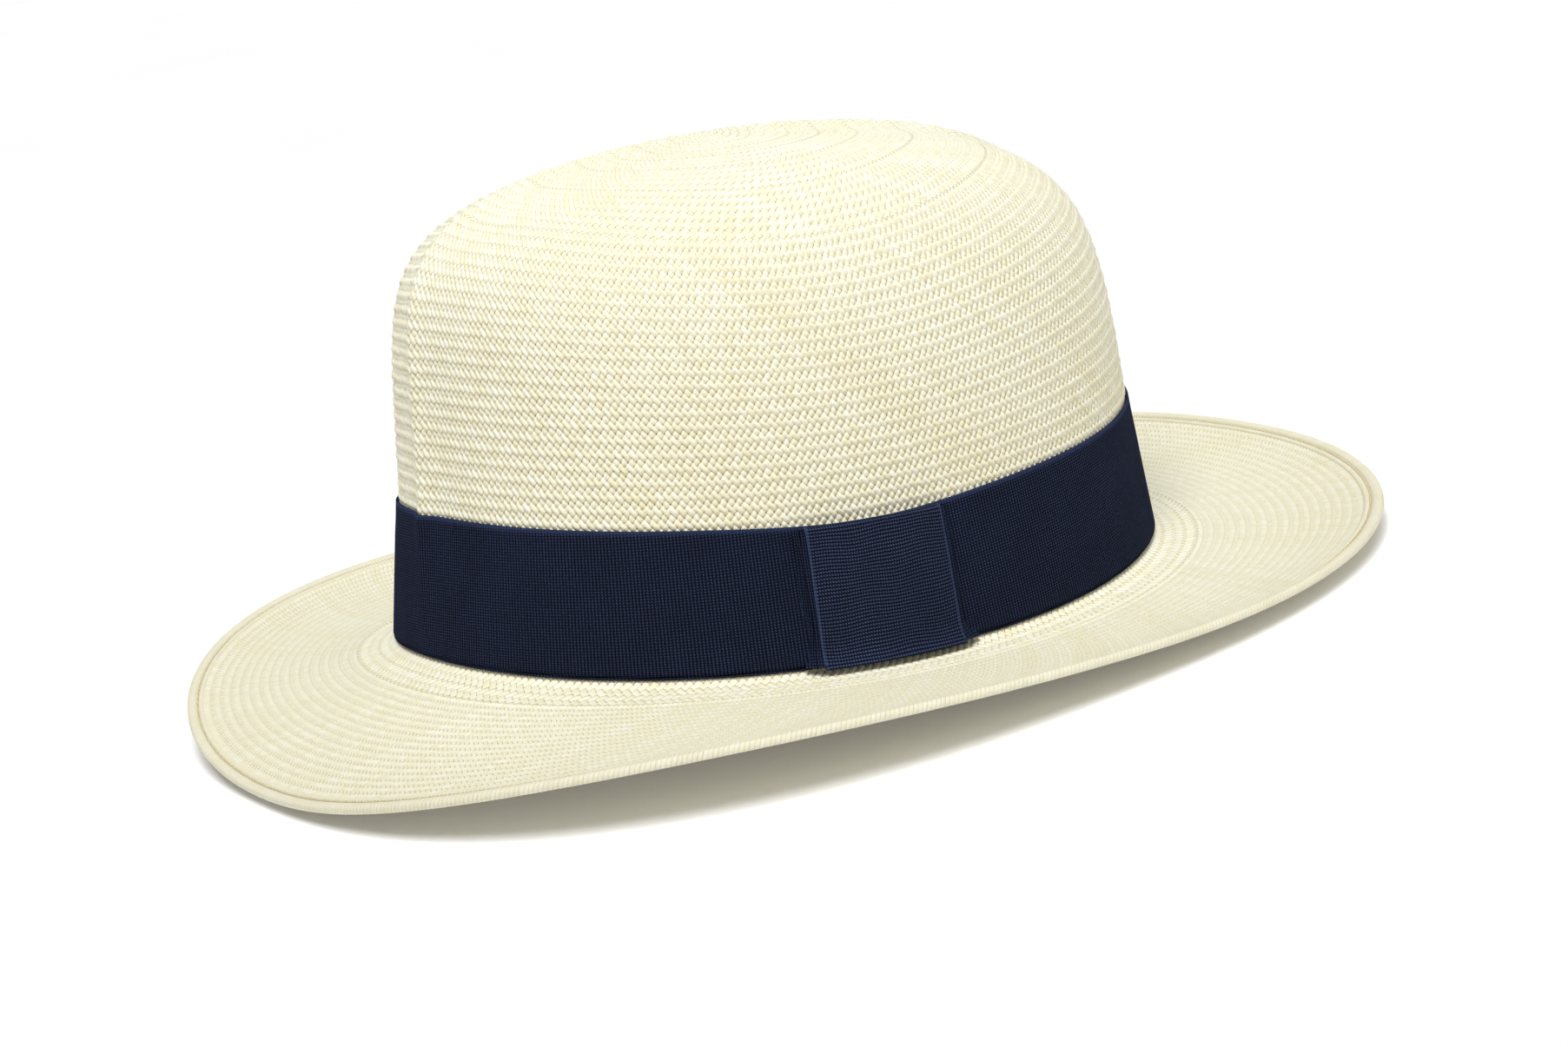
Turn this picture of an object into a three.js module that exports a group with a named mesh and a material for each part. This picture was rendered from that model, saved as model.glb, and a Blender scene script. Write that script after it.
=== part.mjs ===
// A woven straw hat: full round crown with a raised centre ridge, snap brim, grosgrain ribbon and flat tab bow.
// Millimetres, +Z up. The hat's front is towards -Y and the wearer's left, where the bow is, is towards +X.
// It is built upright in its crown's own frame, with the brim break at height 0, and then set down on its brim.
import * as THREE from 'three';
import { mergeVertices } from 'three/addons/utils/BufferGeometryUtils.js';

const DEGREE = Math.PI / 180;

// Crown
const CROWN_HEIGHT = 122.2;
const CROWN_HALF_LENGTH = 103.4;
const CROWN_HALF_WIDTH = 85;
const CROWN_SQUARENESS = 2.13;
const TOP_SHIFT = -5.9;
const FRONT_WALL = { taper: 0.12, steepness: 10, roundness: 2.35 };
const BACK_WALL = { taper: 0, steepness: 8.8, roundness: 1.75 };
const SIDE_WALL = { taper: 0.14, steepness: 4.6, roundness: 2.6 };
const STRAW_THICKNESS = 1.4;

// The raised ridge from front to back over the crown
const RIDGE_HEIGHT = 2.6;
const RIDGE_HALF_WIDTH = 4.5;
const RIDGE_FULL_HEIGHT = 40;
const RIDGE_BACK_START = 20;
const RIDGE_BACK_FULL = 100;

// Brim
const BRIM_HALF_LENGTH = 156.6;
const BRIM_HALF_WIDTH = 148.4;
const BRIM_SQUARENESS = 2.43;
const BRIM_FORWARD = 0.8;
const BREAK_SADDLE = 4;
const BRIM_EDGE = { mean: 1.9, backRise: 12.9, sideRise: 1.65, frontDip: 4.15, cornerRise: 1.15 };
const BRIM_BEND = 1.15;
const BRIM_CURL = 6;
const FILLET_UP = 7;
const FILLET_OUT = 0.13;
const HEM_THICKNESS = 2;
const HEM_START = 0.93;
const HEM_ROUND = 0.7;
const HEM_STITCH_ROW = 0.955;
const HEM_STITCH_WIDTH = 0.009;

// Ribbon and bow, all cut from the same ribbon
const RIBBON_WIDTH = 37.5;
const RIBBON_THICKNESS = 0.7;
const RIBBON_LOWER_EDGE = -0.015;
const FLARE_REACH = 8;
const BOW_CENTRE_Y = -19.5;
const BOW_PULL = 2;
const BOW_PULL_SPREAD = 0.33;
const BOW_BOTTOM = 1;
const BOW_LAYER = 0.5;
const BOW_GAP = 0.25;
const BOW_STEP = 5;
const PLEAT_HALF_LENGTHS = [21.7, 20.8, 19.9];
const KEEPER_HALF_WIDTH = 18.7;
const KEEPER_THICKNESS = 0.7;
const KEEPER_BACK = 0.45;
const KEEPER_RETURN = 6;
const KEEPER_STATIONS = 8;
const PLEAT_INSET = 1.2;
const THREAD = 0.5;
const TACK_LENGTH = 2.5;
const TACK_STANDOFF = 1.6;
const TACK_INSET = 1;

// Sweatband, measured inward from the straw and up from the break
const BAND_BOTTOM = 5;
const BAND_TOP = 40;
const BAND_INWARD = 0.95;
const BAND_THICKNESS = 1;
const BAND_STATIONS = 72;
const TAPE = 0.3;
const BINDING_TOP = 9;
const BINDING_INSIDE = 2.1;
const BINDING_INSIDE_TOP = 4.2;
const REED_BOTTOM = 0.6;
const REED_TOP = 3.4;
const REED_THICKNESS = 0.85;
const BAND_STITCH_HEIGHT = 6.8;
const BACK = 90 * DEGREE;
const BACK_OPENING = 2;
const SEAM_TAPE_HALF_WIDTH = 11;
const SEAM_TAPE_INSET = 2;
const LABEL_HALF_WIDTH = 7;
const LABEL_FROM_BACK = 24;
const LABEL_BOTTOM = 28;
const LABEL_SHOWING = 6;
const SMALL_BOW_DEPTH = 1.2;
const SMALL_BOW_HEIGHT = 21;
const SMALL_BOW_CLEARANCE = 2;

const GAP = 0.3;
const COLUMNS = 72;
const COLUMN_CROWDING = 0.33;
const REST_LEAN = 4.9 * DEGREE;

const STRAW = new THREE.MeshStandardMaterial({ color: 0xece6c8, roughness: 0.75 });
const HEM_COTTON = new THREE.MeshStandardMaterial({ color: 0xd9cda0, roughness: 0.8 });
const RIBBON = new THREE.MeshStandardMaterial({ color: 0x1c2336, roughness: 0.85 });
const NAVY_THREAD = new THREE.MeshStandardMaterial({ color: 0x151b2c, roughness: 0.8 });
const LEATHER = new THREE.MeshStandardMaterial({ color: 0xd9c39a, roughness: 0.55 });
const BINDING_TAPE = new THREE.MeshStandardMaterial({ color: 0xe8e2cf, roughness: 0.85 });
const REED_PLASTIC = new THREE.MeshStandardMaterial({ color: 0xf2efe6, roughness: 0.4 });
const LABEL_CLOTH = new THREE.MeshStandardMaterial({ color: 0xf4f1e8, roughness: 0.7 });

// ---- The hat's surface ----

// Angles round the crown, crowded together at the front and back where the ridge needs them. 0 is the left side.
function columnAngles() {
  return Array.from({ length: COLUMNS }, (_, i) => {
    const even = (2 * Math.PI * i) / COLUMNS;
    return even + COLUMN_CROWDING * Math.sin(2 * even);
  });
}

// How far the wall stands out at a fraction of the crown's height, as a fraction of its reach at the break
function wallReach(wall, fraction) {
  const rounded = Math.max(0, 1 - Math.abs(fraction) ** wall.steepness) ** (1 / wall.roundness);
  return (1 - wall.taper * fraction) * rounded;
}

// A point on an oval whose corners fill out as squareness grows above 2
function ovalPoint(angle, halfWidth, halfLength, squareness) {
  const c = Math.cos(angle);
  const s = Math.sin(angle);
  const reach = (Math.abs(c) ** squareness + Math.abs(s) ** squareness) ** (-1 / squareness);
  return [halfWidth * reach * c, halfLength * reach * s];
}

// The break line and the rows near it rise at the front and back and dip at the sides, less and less upward
function saddle(angle, fraction) {
  return -BREAK_SADDLE * Math.cos(2 * angle) * Math.max(0, 1 - Math.abs(fraction) ** 3) ** 2;
}

// The crown wall without its ridge, at a height above the break and a distance inward
function wallPoint(angle, height, inward = 0) {
  const fraction = Math.min(1, height / CROWN_HEIGHT);
  const endWall = Math.sin(angle) < 0 ? FRONT_WALL : BACK_WALL;
  const halfLength = CROWN_HALF_LENGTH * wallReach(endWall, fraction) - inward;
  const halfWidth = CROWN_HALF_WIDTH * wallReach(SIDE_WALL, fraction) - inward;
  const [x, y] = ovalPoint(angle, halfWidth, halfLength, CROWN_SQUARENESS);
  const shift = TOP_SHIFT * Math.max(0, fraction) ** 3;
  return new THREE.Vector3(x, y + shift, height + saddle(angle, fraction));
}

// The brim's upper surface: fraction 0 is the break and 1 the edge
function brimPoint(angle, fraction) {
  const root = wallPoint(angle, 0);
  const [edgeX, edgeY] = ovalPoint(angle, BRIM_HALF_WIDTH, BRIM_HALF_LENGTH, BRIM_SQUARENESS);
  const s = Math.sin(angle);
  const edgeZ = BRIM_EDGE.mean + BRIM_EDGE.backRise * s + BRIM_EDGE.sideRise * Math.cos(2 * angle)
    - BRIM_EDGE.frontDip * Math.sin(3 * angle) - BRIM_EDGE.cornerRise * Math.cos(4 * angle);
  const curl = BRIM_CURL * (1 - Math.max(0, -s) ** 2);
  const z = root.z + (edgeZ - root.z) * fraction ** BRIM_BEND + curl * (fraction ** 3 - fraction);
  return new THREE.Vector3(
    THREE.MathUtils.lerp(root.x, edgeX, fraction),
    THREE.MathUtils.lerp(root.y, edgeY - BRIM_FORWARD, fraction),
    z,
  );
}

// The outer surface without its ridge. A row of 0 or more is a height up the crown in millimetres, a row
// below 0 is minus a fraction of the brim, and a rounded bend joins the two.
function smoothPoint(angle, row) {
  if (row >= FILLET_UP) return wallPoint(angle, row);
  if (row <= -FILLET_OUT) return brimPoint(angle, -row);
  const t = row >= 0 ? 0.5 * (1 - row / FILLET_UP) : 0.5 + (0.5 * -row) / FILLET_OUT;
  const bend = new THREE.QuadraticBezierCurve3(
    wallPoint(angle, FILLET_UP), wallPoint(angle, 0), brimPoint(angle, FILLET_OUT));
  return bend.getPoint(t);
}

function smoothNormal(angle, row) {
  const turn = 0.004;
  const step = row < 0 ? 0.004 : 0.4;
  const up = Math.min(row + step, CROWN_HEIGHT - 0.01);
  const along = smoothPoint(angle + turn, row).sub(smoothPoint(angle - turn, row));
  const across = smoothPoint(angle, up).sub(smoothPoint(angle, row - step));
  return along.cross(across).normalize();
}

// The ridge's height at a point of the crown: it grows out of the ribbon and fades down the back
function ridgeLift(angle, row, x) {
  if (row <= 0) return 0;
  const grows = THREE.MathUtils.smoothstep(row, 0, RIDGE_FULL_HEIGHT);
  const lasts = THREE.MathUtils.smoothstep(row, RIDGE_BACK_START, RIDGE_BACK_FULL);
  const strength = Math.sin(angle) < 0 ? grows : lasts;
  return RIDGE_HEIGHT * strength * Math.exp(-((x / RIDGE_HALF_WIDTH) ** 2));
}

// The hat's outer surface, moved outward by a distance
function outerPoint(angle, row, outward = 0) {
  const point = smoothPoint(angle, row);
  const lift = ridgeLift(angle, row, point.x);
  return point.addScaledVector(smoothNormal(angle, row), outward + lift);
}

// ---- Solids ----

// A closed solid whose section changes from station to station. Each section is a closed outline of the
// same number of points. The stations either close on themselves or end in two caps.
function loft(sections, closed = true) {
  const count = sections[0].length;
  const faces = [];
  const spans = closed ? sections.length : sections.length - 1;
  for (let i = 0; i < spans; i += 1) {
    const here = i * count;
    const next = ((i + 1) % sections.length) * count;
    for (let j = 0; j < count; j += 1) {
      const k = (j + 1) % count;
      faces.push([here + j, next + j, next + k], [here + j, next + k, here + k]);
    }
  }
  if (!closed) {
    const last = (sections.length - 1) * count;
    faces.push(...capFaces(sections[0]));
    faces.push(...capFaces(sections.at(-1)).map(([a, b, c]) => [last + a, last + c, last + b]));
  }
  return solidFrom(sections.flat(), faces);
}

// The triangles that fill an outline in space, worked out on the plane that it lies nearest to
function capFaces(section) {
  const normal = new THREE.Vector3();
  section.forEach((point, i) => normal.add(point.clone().cross(section[(i + 1) % section.length])));
  const flatten = new THREE.Quaternion().setFromUnitVectors(normal.normalize(), new THREE.Vector3(0, 0, 1));
  const flat = section.map((point) => point.clone().applyQuaternion(flatten));
  return THREE.ShapeUtils.triangulateShape(flat.map((point) => new THREE.Vector2(point.x, point.y)), []);
}

// Joins points that coincide, drops faces that vanish and turns the faces outward
function solidFrom(points, faces) {
  const loose = new THREE.BufferGeometry();
  loose.setAttribute('position', new THREE.Float32BufferAttribute(points.flatMap((p) => [p.x, p.y, p.z]), 3));
  loose.setIndex(faces.flat());
  const geometry = mergeVertices(loose, 1e-4);
  const old = geometry.getIndex().array;
  const kept = [];
  for (let i = 0; i < old.length; i += 3) {
    const [a, b, c] = [old[i], old[i + 1], old[i + 2]];
    if (a !== b && b !== c && c !== a) kept.push(a, b, c);
  }
  if (signedVolume(geometry, kept) < 0) kept.reverse();
  geometry.setIndex(kept);
  geometry.computeVertexNormals();
  return geometry;
}

function signedVolume(geometry, index) {
  const corner = (i) => new THREE.Vector3().fromBufferAttribute(geometry.getAttribute('position'), index[i]);
  let volume = 0;
  for (let i = 0; i < index.length; i += 3) {
    volume += corner(i).dot(corner(i + 1).cross(corner(i + 2))) / 6;
  }
  return volume;
}

function named(name, geometry, material) {
  const mesh = new THREE.Mesh(geometry, material);
  mesh.name = name;
  return mesh;
}

// ---- Straw body ----

function strawBody() {
  const brimRows = [-1, -0.985, -HEM_START, -0.8, -0.64, -0.48, -0.32, -0.2, -FILLET_OUT, -0.06];
  const wallRows = [0, 2.3, 4.7, FILLET_UP, 22, RIBBON_WIDTH, 52, 66, 78, 88, 96.5, 103.5, 109, 113, 116, 118.4];
  const topRows = [120.2, 121.4, 122.15];
  const rows = [...brimRows, ...wallRows, ...topRows];
  const top = new THREE.Vector3(0, TOP_SHIFT, CROWN_HEIGHT + RIDGE_HEIGHT);
  const topInside = top.clone().setZ(top.z - STRAW_THICKNESS);
  const sections = columnAngles().map((angle) => {
    const outside = rows.map((row) => outerPoint(angle, row));
    const inside = rows.map((row) => outerPoint(angle, row, row <= -HEM_START ? -HEM_THICKNESS : -STRAW_THICKNESS));
    const rim = outerPoint(angle, -1, -HEM_THICKNESS / 2);
    const outward = new THREE.Vector3(rim.x, rim.y, 0).setLength(HEM_ROUND);
    return [rim.add(outward), ...outside, top, topInside, ...inside.reverse()];
  });
  return named('straw_body', loft(sections), STRAW);
}

// The machine stitching round the brim, a little way in from its edge
function brimHemThread() {
  const sections = columnAngles().map((angle) => {
    const corner = (sideways, outward) => outerPoint(angle, -HEM_STITCH_ROW + sideways, outward);
    return [
      corner(0, GAP), corner(0, GAP + THREAD),
      corner(HEM_STITCH_WIDTH, GAP + THREAD), corner(HEM_STITCH_WIDTH, GAP),
    ];
  });
  return named('brim_hem_thread', loft(sections), HEM_COTTON);
}

// ---- Ribbon and bow ----

// The ribbon's upper edge, which the bow's tab pulls down where it is sewn round the ribbon
function ribbonTop(angle) {
  const awayFromBow = 2 * (1 - Math.cos(angle - BOW_CENTRE_Y / CROWN_HALF_LENGTH));
  return RIBBON_WIDTH - BOW_PULL * Math.exp(-awayFromBow / BOW_PULL_SPREAD ** 2);
}

function ribbonBand() {
  const sections = columnAngles().map((angle) => {
    const rows = [RIBBON_LOWER_EDGE, 1.5, 4, FILLET_UP, 22, ribbonTop(angle)];
    const back = rows.map((row) => outerPoint(angle, row, GAP));
    const face = rows.map((row) => outerPoint(angle, row, GAP + RIBBON_THICKNESS));
    return [...back, ...face.reverse()];
  });
  return named('ribbon_band', loft(sections), RIBBON);
}

// How far the ribbon's lower edge stands out over the rounded brim break, at a height above the break
function ribbonFlare(height) {
  const climbed = Math.sqrt(THREE.MathUtils.clamp(height, 1, FILLET_UP) / FILLET_UP);
  return FLARE_REACH * (1 - climbed) ** 2;
}

// A place on the bow: along is towards the back of the hat, and proud is out from the ribbon's face
function bowPoint(along, height, proud) {
  const angle = (BOW_CENTRE_Y + along) / CROWN_HALF_LENGTH;
  const outward = GAP + RIBBON_THICKNESS + GAP + ribbonFlare(height) + proud;
  const normal = smoothNormal(angle, Math.max(height, FILLET_UP));
  return wallPoint(angle, height).addScaledVector(normal, outward);
}

// Adds points along the long sides of an outline, so that it can follow a curved surface
function subdivided(outline, longest) {
  return outline.flatMap(([u, v], i) => {
    const [nextU, nextV] = outline[(i + 1) % outline.length];
    const pieces = Math.ceil(Math.hypot(nextU - u, nextV - v) / longest);
    return Array.from({ length: pieces }, (_, k) => (
      [THREE.MathUtils.lerp(u, nextU, k / pieces), THREE.MathUtils.lerp(v, nextV, k / pieces)]
    ));
  });
}

// The ribbon's ends folded back and forth under the tab, three layers in one piece
function bowPleats() {
  const [lower, middle, upper] = PLEAT_HALF_LENGTHS;
  const base = KEEPER_BACK + BOW_GAP;
  const pitch = BOW_LAYER + BOW_GAP;
  const folded = [
    [-lower, 0], [lower, 0], [lower, BOW_LAYER], [middle, BOW_LAYER],
    [middle, pitch + BOW_LAYER], [-upper + BOW_LAYER, pitch + BOW_LAYER], [-upper + BOW_LAYER, 2 * pitch],
    [upper, 2 * pitch], [upper, 2 * pitch + BOW_LAYER], [-upper, 2 * pitch + BOW_LAYER],
    [-upper, pitch + BOW_LAYER], [-middle, pitch + BOW_LAYER], [-middle, pitch],
    [middle - BOW_LAYER, pitch], [middle - BOW_LAYER, BOW_LAYER], [-lower, BOW_LAYER],
  ];
  const outline = subdivided(folded, BOW_STEP);
  const bottom = BOW_BOTTOM + PLEAT_INSET;
  const top = RIBBON_WIDTH - BOW_PULL - PLEAT_INSET;
  const heights = [bottom, 3.5, 5, FILLET_UP, 15, 26, top];
  const sections = heights.map((height) => outline.map(([along, proud]) => bowPoint(along, height, base + proud)));
  return named('bow_pleats', loft(sections, false), RIBBON);
}

// The flat tab: a length of the same ribbon wrapped over the pleats from top to bottom and turned in behind
function bowKeeper() {
  const bottom = BOW_BOTTOM;
  const top = RIBBON_WIDTH - BOW_PULL + GAP;
  const face = KEEPER_BACK + 3 * (BOW_LAYER + BOW_GAP) + BOW_GAP;
  const wrap = [
    [bottom, 0], [bottom + KEEPER_RETURN, 0], [bottom + KEEPER_RETURN, KEEPER_BACK],
    [bottom + KEEPER_THICKNESS, KEEPER_BACK], [bottom + KEEPER_THICKNESS, face],
    [top - KEEPER_THICKNESS, face], [top - KEEPER_THICKNESS, KEEPER_BACK],
    [top - KEEPER_RETURN, KEEPER_BACK], [top - KEEPER_RETURN, 0], [top, 0],
    [top, face + KEEPER_THICKNESS], [bottom, face + KEEPER_THICKNESS],
  ];
  const outline = subdivided(wrap, BOW_STEP);
  const sections = Array.from({ length: KEEPER_STATIONS + 1 }, (_, i) => {
    const along = THREE.MathUtils.lerp(-KEEPER_HALF_WIDTH, KEEPER_HALF_WIDTH, i / KEEPER_STATIONS);
    return outline.map(([height, proud]) => bowPoint(along, height, proud));
  });
  return named('bow_keeper', loft(sections, false), RIBBON);
}

// A short hand stitch lying across the ribbon's top edge
function ribbonTack(name, angle) {
  const stitch = new THREE.CylinderGeometry(THREAD / 2, THREAD / 2, TACK_LENGTH, 8);
  const mesh = named(name, stitch, NAVY_THREAD);
  const top = RIBBON_WIDTH - TACK_INSET;
  const low = outerPoint(angle, top - TACK_LENGTH, TACK_STANDOFF);
  const high = outerPoint(angle, top, TACK_STANDOFF);
  mesh.position.copy(low).lerp(high, 0.5);
  mesh.quaternion.setFromUnitVectors(new THREE.Vector3(0, 1, 0), high.sub(low).normalize());
  return mesh;
}

// ---- Sweatband ----

// A ring inside the crown whose section is an outline in (inward from the straw, height above the break)
function insideRing(outline) {
  const sections = columnAngles().map((angle) => (
    outline.map(([inward, height]) => wallPoint(angle, height, STRAW_THICKNESS + inward))
  ));
  return loft(sections);
}

// A strip inside the crown from one angle round to another, with the same kind of outline
function insideStrip(outline, from, to, stations) {
  const sections = Array.from({ length: stations + 1 }, (_, i) => {
    const angle = THREE.MathUtils.lerp(from, to, i / stations);
    return outline.map(([inward, height]) => wallPoint(angle, height, STRAW_THICKNESS + inward));
  });
  return loft(sections, false);
}

function rectangle(inward, thickness, bottom, top) {
  return [[inward, bottom], [inward, top], [inward + thickness, top], [inward + thickness, bottom]];
}

// The leather strip. Its two ends meet at the back with a narrow opening, which the little bow laces.
function sweatband() {
  const leather = rectangle(BAND_INWARD, BAND_THICKNESS, BAND_BOTTOM, BAND_TOP);
  const opening = BACK_OPENING / 2 / CROWN_HALF_WIDTH;
  const strip = insideStrip(leather, BACK + opening, BACK + 2 * Math.PI - opening, BAND_STATIONS);
  return named('sweatband', strip, LEATHER);
}

// The tape at the sweatband's lower edge, folded up round the reed like a gutter
function sweatbandBinding() {
  const face = BINDING_INSIDE + TAPE;
  const fold = [
    [GAP, BINDING_TOP], [GAP + TAPE, BINDING_TOP], [GAP + TAPE, TAPE / 2], [BINDING_INSIDE, TAPE / 2],
    [BINDING_INSIDE, BINDING_INSIDE_TOP], [face, BINDING_INSIDE_TOP], [face, -TAPE / 2], [GAP, -TAPE / 2],
  ];
  return named('sweatband_binding', insideRing(fold), BINDING_TAPE);
}

function sweatbandReed() {
  const reed = rectangle(GAP + TAPE + GAP, REED_THICKNESS, REED_BOTTOM, REED_TOP);
  return named('sweatband_reed', insideRing(reed), REED_PLASTIC);
}

// The line of stitching that joins leather and tape, on the leather's face
function sweatbandThread() {
  const inward = BAND_INWARD + BAND_THICKNESS + GAP;
  const line = rectangle(inward, THREAD, BAND_STITCH_HEIGHT, BAND_STITCH_HEIGHT + THREAD);
  return named('sweatband_thread', insideRing(line), LEATHER);
}

// The strip behind the leather's two ends
function sweatbandSeamTape() {
  const half = SEAM_TAPE_HALF_WIDTH / CROWN_HALF_WIDTH;
  const tape = rectangle(GAP, TAPE, BINDING_TOP + GAP, BAND_TOP - SEAM_TAPE_INSET);
  return named('sweatband_seam_tape', insideStrip(tape, BACK - half, BACK + half, 6), BINDING_TAPE);
}

// The blank label, tucked behind the leather beside the back seam
function sizeLabel() {
  const half = LABEL_HALF_WIDTH / CROWN_HALF_WIDTH;
  const centre = BACK - LABEL_FROM_BACK / CROWN_HALF_WIDTH;
  const label = rectangle(GAP, TAPE, LABEL_BOTTOM, BAND_TOP + LABEL_SHOWING);
  return named('size_label', insideStrip(label, centre - half, centre + half, 4), LABEL_CLOTH);
}

// The bow that laces the leather's ends: two loops and two tails of narrow ribbon, drawn flat and extruded
function sweatbandBow() {
  const shape = new THREE.Shape();
  shape.moveTo(0, 1.6);
  shape.bezierCurveTo(4, 5.5, 11, 5.5, 11, 1.5);
  shape.bezierCurveTo(11, -2, 5, -2, 2.2, -0.8);
  shape.lineTo(7.5, -8.5);
  shape.lineTo(4, -9.5);
  shape.lineTo(0, -1.6);
  shape.lineTo(-4, -9.5);
  shape.lineTo(-7.5, -8.5);
  shape.lineTo(-2.2, -0.8);
  shape.bezierCurveTo(-5, -2, -11, -2, -11, 1.5);
  shape.bezierCurveTo(-11, 5.5, -4, 5.5, 0, 1.6);
  const bow = new THREE.ExtrudeGeometry(shape, { depth: SMALL_BOW_DEPTH, bevelEnabled: false, curveSegments: 6 });
  const mesh = named('sweatband_bow', bow, BINDING_TAPE);
  const leatherFace = wallPoint(BACK, SMALL_BOW_HEIGHT, STRAW_THICKNESS + BAND_INWARD + BAND_THICKNESS);
  mesh.rotation.x = 90 * DEGREE;
  mesh.position.copy(leatherFace).y -= SMALL_BOW_CLEARANCE;
  return mesh;
}

// ---- The hat ----

// Sets the hat down on its brim, with the origin under the middle of its box
function setDown(group) {
  group.rotation.x = -REST_LEAN;
  const box = new THREE.Box3().setFromObject(group, true);
  const middle = box.getCenter(new THREE.Vector3());
  group.position.set(-middle.x, -middle.y, -box.min.z);
  return group;
}

const hat = new THREE.Group();
hat.add(
  strawBody(),
  brimHemThread(),
  ribbonBand(),
  bowPleats(),
  bowKeeper(),
  ribbonTack('ribbon_tack_front', -80 * DEGREE),
  ribbonTack('ribbon_tack_right', 180 * DEGREE),
  ribbonTack('ribbon_tack_back', 80 * DEGREE),
  sweatband(),
  sweatbandBinding(),
  sweatbandReed(),
  sweatbandThread(),
  sweatbandSeamTape(),
  sweatbandBow(),
  sizeLabel(),
);

export default setDown(hat);
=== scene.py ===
"""The look of a woven straw hat with a navy grosgrain ribbon, a flat tab bow and a leather sweatband.

The shapes are worked out in the hat's own upright frame, in millimetres: the brim break is at height 0,
the front is towards -Y, and the wearer's left, where the bow is, is towards +X. place() then sets them
down on the brim, in metres.
"""

import math

import bpy
import numpy as np
from mathutils import Matrix, Vector


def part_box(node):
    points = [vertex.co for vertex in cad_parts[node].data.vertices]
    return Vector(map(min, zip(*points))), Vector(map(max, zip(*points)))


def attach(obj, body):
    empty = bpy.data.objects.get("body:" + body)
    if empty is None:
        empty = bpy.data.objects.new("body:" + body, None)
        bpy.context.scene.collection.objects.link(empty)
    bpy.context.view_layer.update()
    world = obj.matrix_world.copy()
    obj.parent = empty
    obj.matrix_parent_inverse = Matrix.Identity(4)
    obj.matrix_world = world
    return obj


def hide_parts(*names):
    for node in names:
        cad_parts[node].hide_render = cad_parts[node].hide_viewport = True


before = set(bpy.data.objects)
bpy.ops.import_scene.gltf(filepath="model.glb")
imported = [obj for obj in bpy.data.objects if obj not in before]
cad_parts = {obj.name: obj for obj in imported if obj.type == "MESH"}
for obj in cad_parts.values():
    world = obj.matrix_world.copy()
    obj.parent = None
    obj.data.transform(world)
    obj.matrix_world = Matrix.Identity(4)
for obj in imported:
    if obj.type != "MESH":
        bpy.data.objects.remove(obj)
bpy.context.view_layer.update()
random = np.random.default_rng(58)

MM = 0.001

# Crown: half axes, squareness of the oval, and (taper, steepness, roundness) of each wall
CROWN_HEIGHT = 122.2
CROWN_HALF_LENGTH = 103.4
CROWN_HALF_WIDTH = 85
CROWN_SQUARENESS = 2.13
TOP_SHIFT = -5.9
FRONT_WALL = (0.12, 10, 2.35)
BACK_WALL = (0, 8.8, 1.75)
SIDE_WALL = (0.14, 4.6, 2.6)
STRAW_THICKNESS = 1.4
RIDGE_HEIGHT = 2.6
RIDGE_HALF_WIDTH = 4.5
RIDGE_CRISPNESS = 1.35
RIDGE_FULL_HEIGHT = 40
RIDGE_BACK_START = 20
RIDGE_BACK_FULL = 100

# Brim
BRIM_HALF_LENGTH = 156.6
BRIM_HALF_WIDTH = 148.4
BRIM_SQUARENESS = 2.43
BRIM_FORWARD = 0.8
BREAK_SADDLE = 4
BRIM_MEAN = 1.9
BRIM_BACK_RISE = 12.9
BRIM_SIDE_RISE = 1.65
BRIM_FRONT_DIP = 4.15
BRIM_CORNER_RISE = 1.15
BRIM_BEND = 1.15
BRIM_CURL = 6
FILLET_UP = 7
FILLET_OUT = 0.13
HEM_THICKNESS = 2
HEM_START = 0.93

# Ribbon and bow
RIBBON_WIDTH = 37.5
RIBBON_THICKNESS = 0.7
RIBBON_LOWER_EDGE = -0.015
FLARE_REACH = 8
BOW_CENTRE_Y = -19.5
BOW_ANGLE = BOW_CENTRE_Y / CROWN_HALF_LENGTH
BOW_PULL = 2
BOW_PULL_SPREAD = 0.33
BOW_BOTTOM = 1
KEEPER_HALF_WIDTH = 18.7
KEEPER_THICKNESS = 0.7
KEEPER_BACK = 0.45
PLEAT_LAYER = 0.75
GAP = 0.3

REST_LEAN = math.radians(4.9)
BACK = math.pi / 2
STRAIGHT_UP = [0.0, 0.0, 1.0]
TINY = 1e-6


# ---- The hat's surface ----


def smoothstep(value, low, high):
    share = np.clip((value - low) / (high - low), 0, 1)
    return share * share * (3 - 2 * share)


def wall_reach(wall, share):
    """How far a wall stands out at a share of the crown's height, as a share of its reach at the break."""
    taper, steepness, roundness = wall
    return (1 - taper * share) * np.maximum(0, 1 - np.abs(share) ** steepness) ** (1 / roundness)


def oval_point(angle, half_width, half_length, squareness):
    c, s = np.cos(angle), np.sin(angle)
    reach = (np.abs(c) ** squareness + np.abs(s) ** squareness) ** (-1 / squareness)
    return half_width * reach * c, half_length * reach * s


def points_of(x, y, z):
    return np.stack(np.broadcast_arrays(x, y, z), axis=-1)


def wall_point(angle, height, inward=0.0):
    """The crown wall without its ridge, at a height above the break and a distance inward."""
    share = np.minimum(1, height / CROWN_HEIGHT)
    ends = np.where(np.sin(angle) < 0, wall_reach(FRONT_WALL, share), wall_reach(BACK_WALL, share))
    half_length = CROWN_HALF_LENGTH * ends - inward
    half_width = CROWN_HALF_WIDTH * wall_reach(SIDE_WALL, share) - inward
    x, y = oval_point(angle, half_width, half_length, CROWN_SQUARENESS)
    saddle = -BREAK_SADDLE * np.cos(2 * angle) * np.maximum(0, 1 - np.abs(share) ** 3) ** 2
    return points_of(x, y + TOP_SHIFT * np.maximum(0, share) ** 3, height + saddle)


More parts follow.
